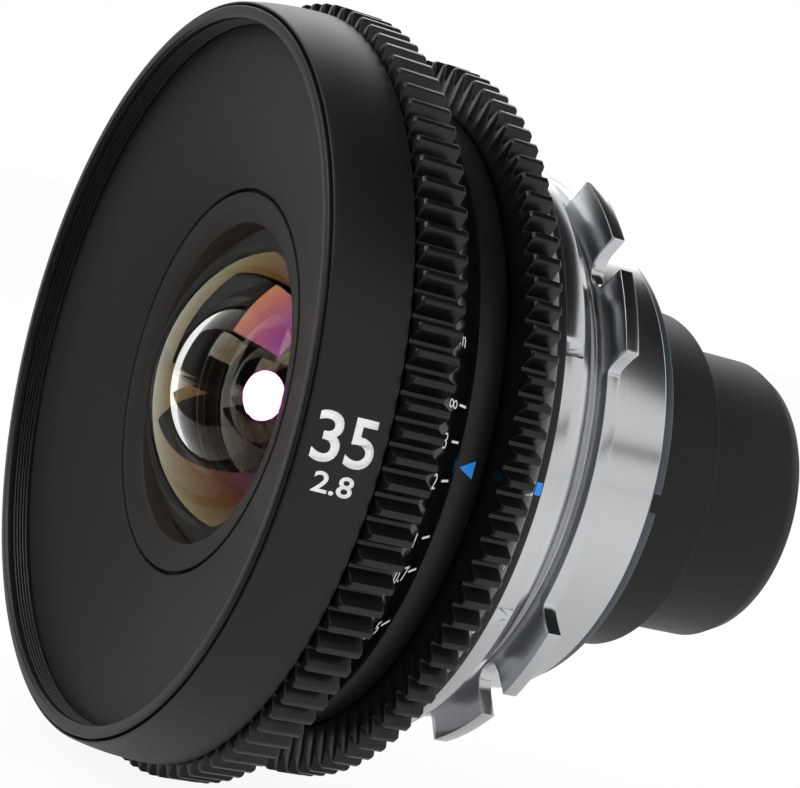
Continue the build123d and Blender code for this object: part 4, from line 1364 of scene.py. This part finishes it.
class LENS_OT_rear_barrel(PieceOperator, bpy.types.Operator):
    """Model the stepped rear barrel"""
    bl_idname = "lens.rear_barrel"
    bl_label = "Rear barrel"
    steps = (rear_barrel,)


class LENS_OT_rear_glass(PieceOperator, bpy.types.Operator):
    """Model the rear glass and its ring"""
    bl_idname = "lens.rear_glass"
    bl_label = "Rear glass"
    steps = (rear_glass,)


class LENS_OT_focus_marks(PieceOperator, bpy.types.Operator):
    """Paint the distance scale"""
    bl_idname = "lens.focus_marks"
    bl_label = "Distance scale"
    steps = (focus_marks,)


class LENS_OT_iris_marks(PieceOperator, bpy.types.Operator):
    """Paint the iris scale"""
    bl_idname = "lens.iris_marks"
    bl_label = "Iris scale"
    steps = (iris_marks,)


class LENS_OT_index_marks(PieceOperator, bpy.types.Operator):
    """Paint the two blue index marks"""
    bl_idname = "lens.index_marks"
    bl_label = "Index marks"
    steps = (index_marks,)


class LENS_OT_shell_marks(PieceOperator, bpy.types.Operator):
    """Paint the numbers on the shell"""
    bl_idname = "lens.shell_marks"
    bl_label = "Shell numbers"
    steps = (shell_marks,)


class LENS_OT_inner_nodes(PieceOperator, bpy.types.Operator):
    """Give the inner pieces their finishes"""
    bl_idname = "lens.inner_nodes"
    bl_label = "Inner pieces"
    steps = (inner_nodes,)


class LENS_OT_stage(PieceOperator, bpy.types.Operator):
    """Set the floor, the lights and the camera"""
    bl_idname = "lens.stage"
    bl_label = "Stage"
    steps = (stage,)


BUILD_ORDER = (
    LENS_OT_front_rim, LENS_OT_front_shell, LENS_OT_front_plate,
    LENS_OT_glass_bezel, LENS_OT_front_glass, LENS_OT_gears,
    LENS_OT_scale_bands, LENS_OT_index_rings, LENS_OT_mount,
    LENS_OT_lock_ring, LENS_OT_rear_barrel, LENS_OT_rear_glass,
    LENS_OT_focus_marks, LENS_OT_iris_marks, LENS_OT_index_marks,
    LENS_OT_shell_marks, LENS_OT_inner_nodes, LENS_OT_stage,
)


class LENS_PT_panel(bpy.types.Panel):
    """Lists the pieces, their sizes and their colours"""
    bl_idname = "LENS_PT_panel"
    bl_label = "Cinema prime lens"
    bl_space_type = "VIEW_3D"
    bl_region_type = "UI"
    bl_category = "Lens"

    def draw(self, context):
        layout = self.layout
        for operator in BUILD_ORDER:
            layout.operator(operator.bl_idname, text=operator.bl_label)
        scene = context.scene
        for group in (scene.lens_sizes, scene.lens_finishes, scene.lens_stage):
            box = layout.box()
            for name in group.bl_rna.properties.keys():
                if name not in ("rna_type", "name"):
                    box.prop(group, name)


CLASSES = (LensSizes, LensFinishes, LensStage) + BUILD_ORDER + (LENS_PT_panel,)


def register():
    for cls in CLASSES:
        bpy.utils.register_class(cls)
    bpy.types.Scene.lens_sizes = PointerProperty(type=LensSizes)
    bpy.types.Scene.lens_finishes = PointerProperty(type=LensFinishes)
    bpy.types.Scene.lens_stage = PointerProperty(type=LensStage)


def unregister():
    for name in ("lens_stage", "lens_finishes", "lens_sizes"):
        delattr(bpy.types.Scene, name)
    for cls in reversed(CLASSES):
        bpy.utils.unregister_class(cls)


def clear_default_scene():
    kept = set(frame["nodes"].values()) | set(frame["bodies"].values())
    for obj in list(bpy.data.objects):
        if obj not in kept:
            bpy.data.objects.remove(obj)


def main():
    clear_default_scene()
    register()
    for operator in BUILD_ORDER:
        group, name = operator.bl_idname.split(".")
        getattr(getattr(bpy.ops, group), name)()
    deselect()


if __name__ == "__main__":
    main()
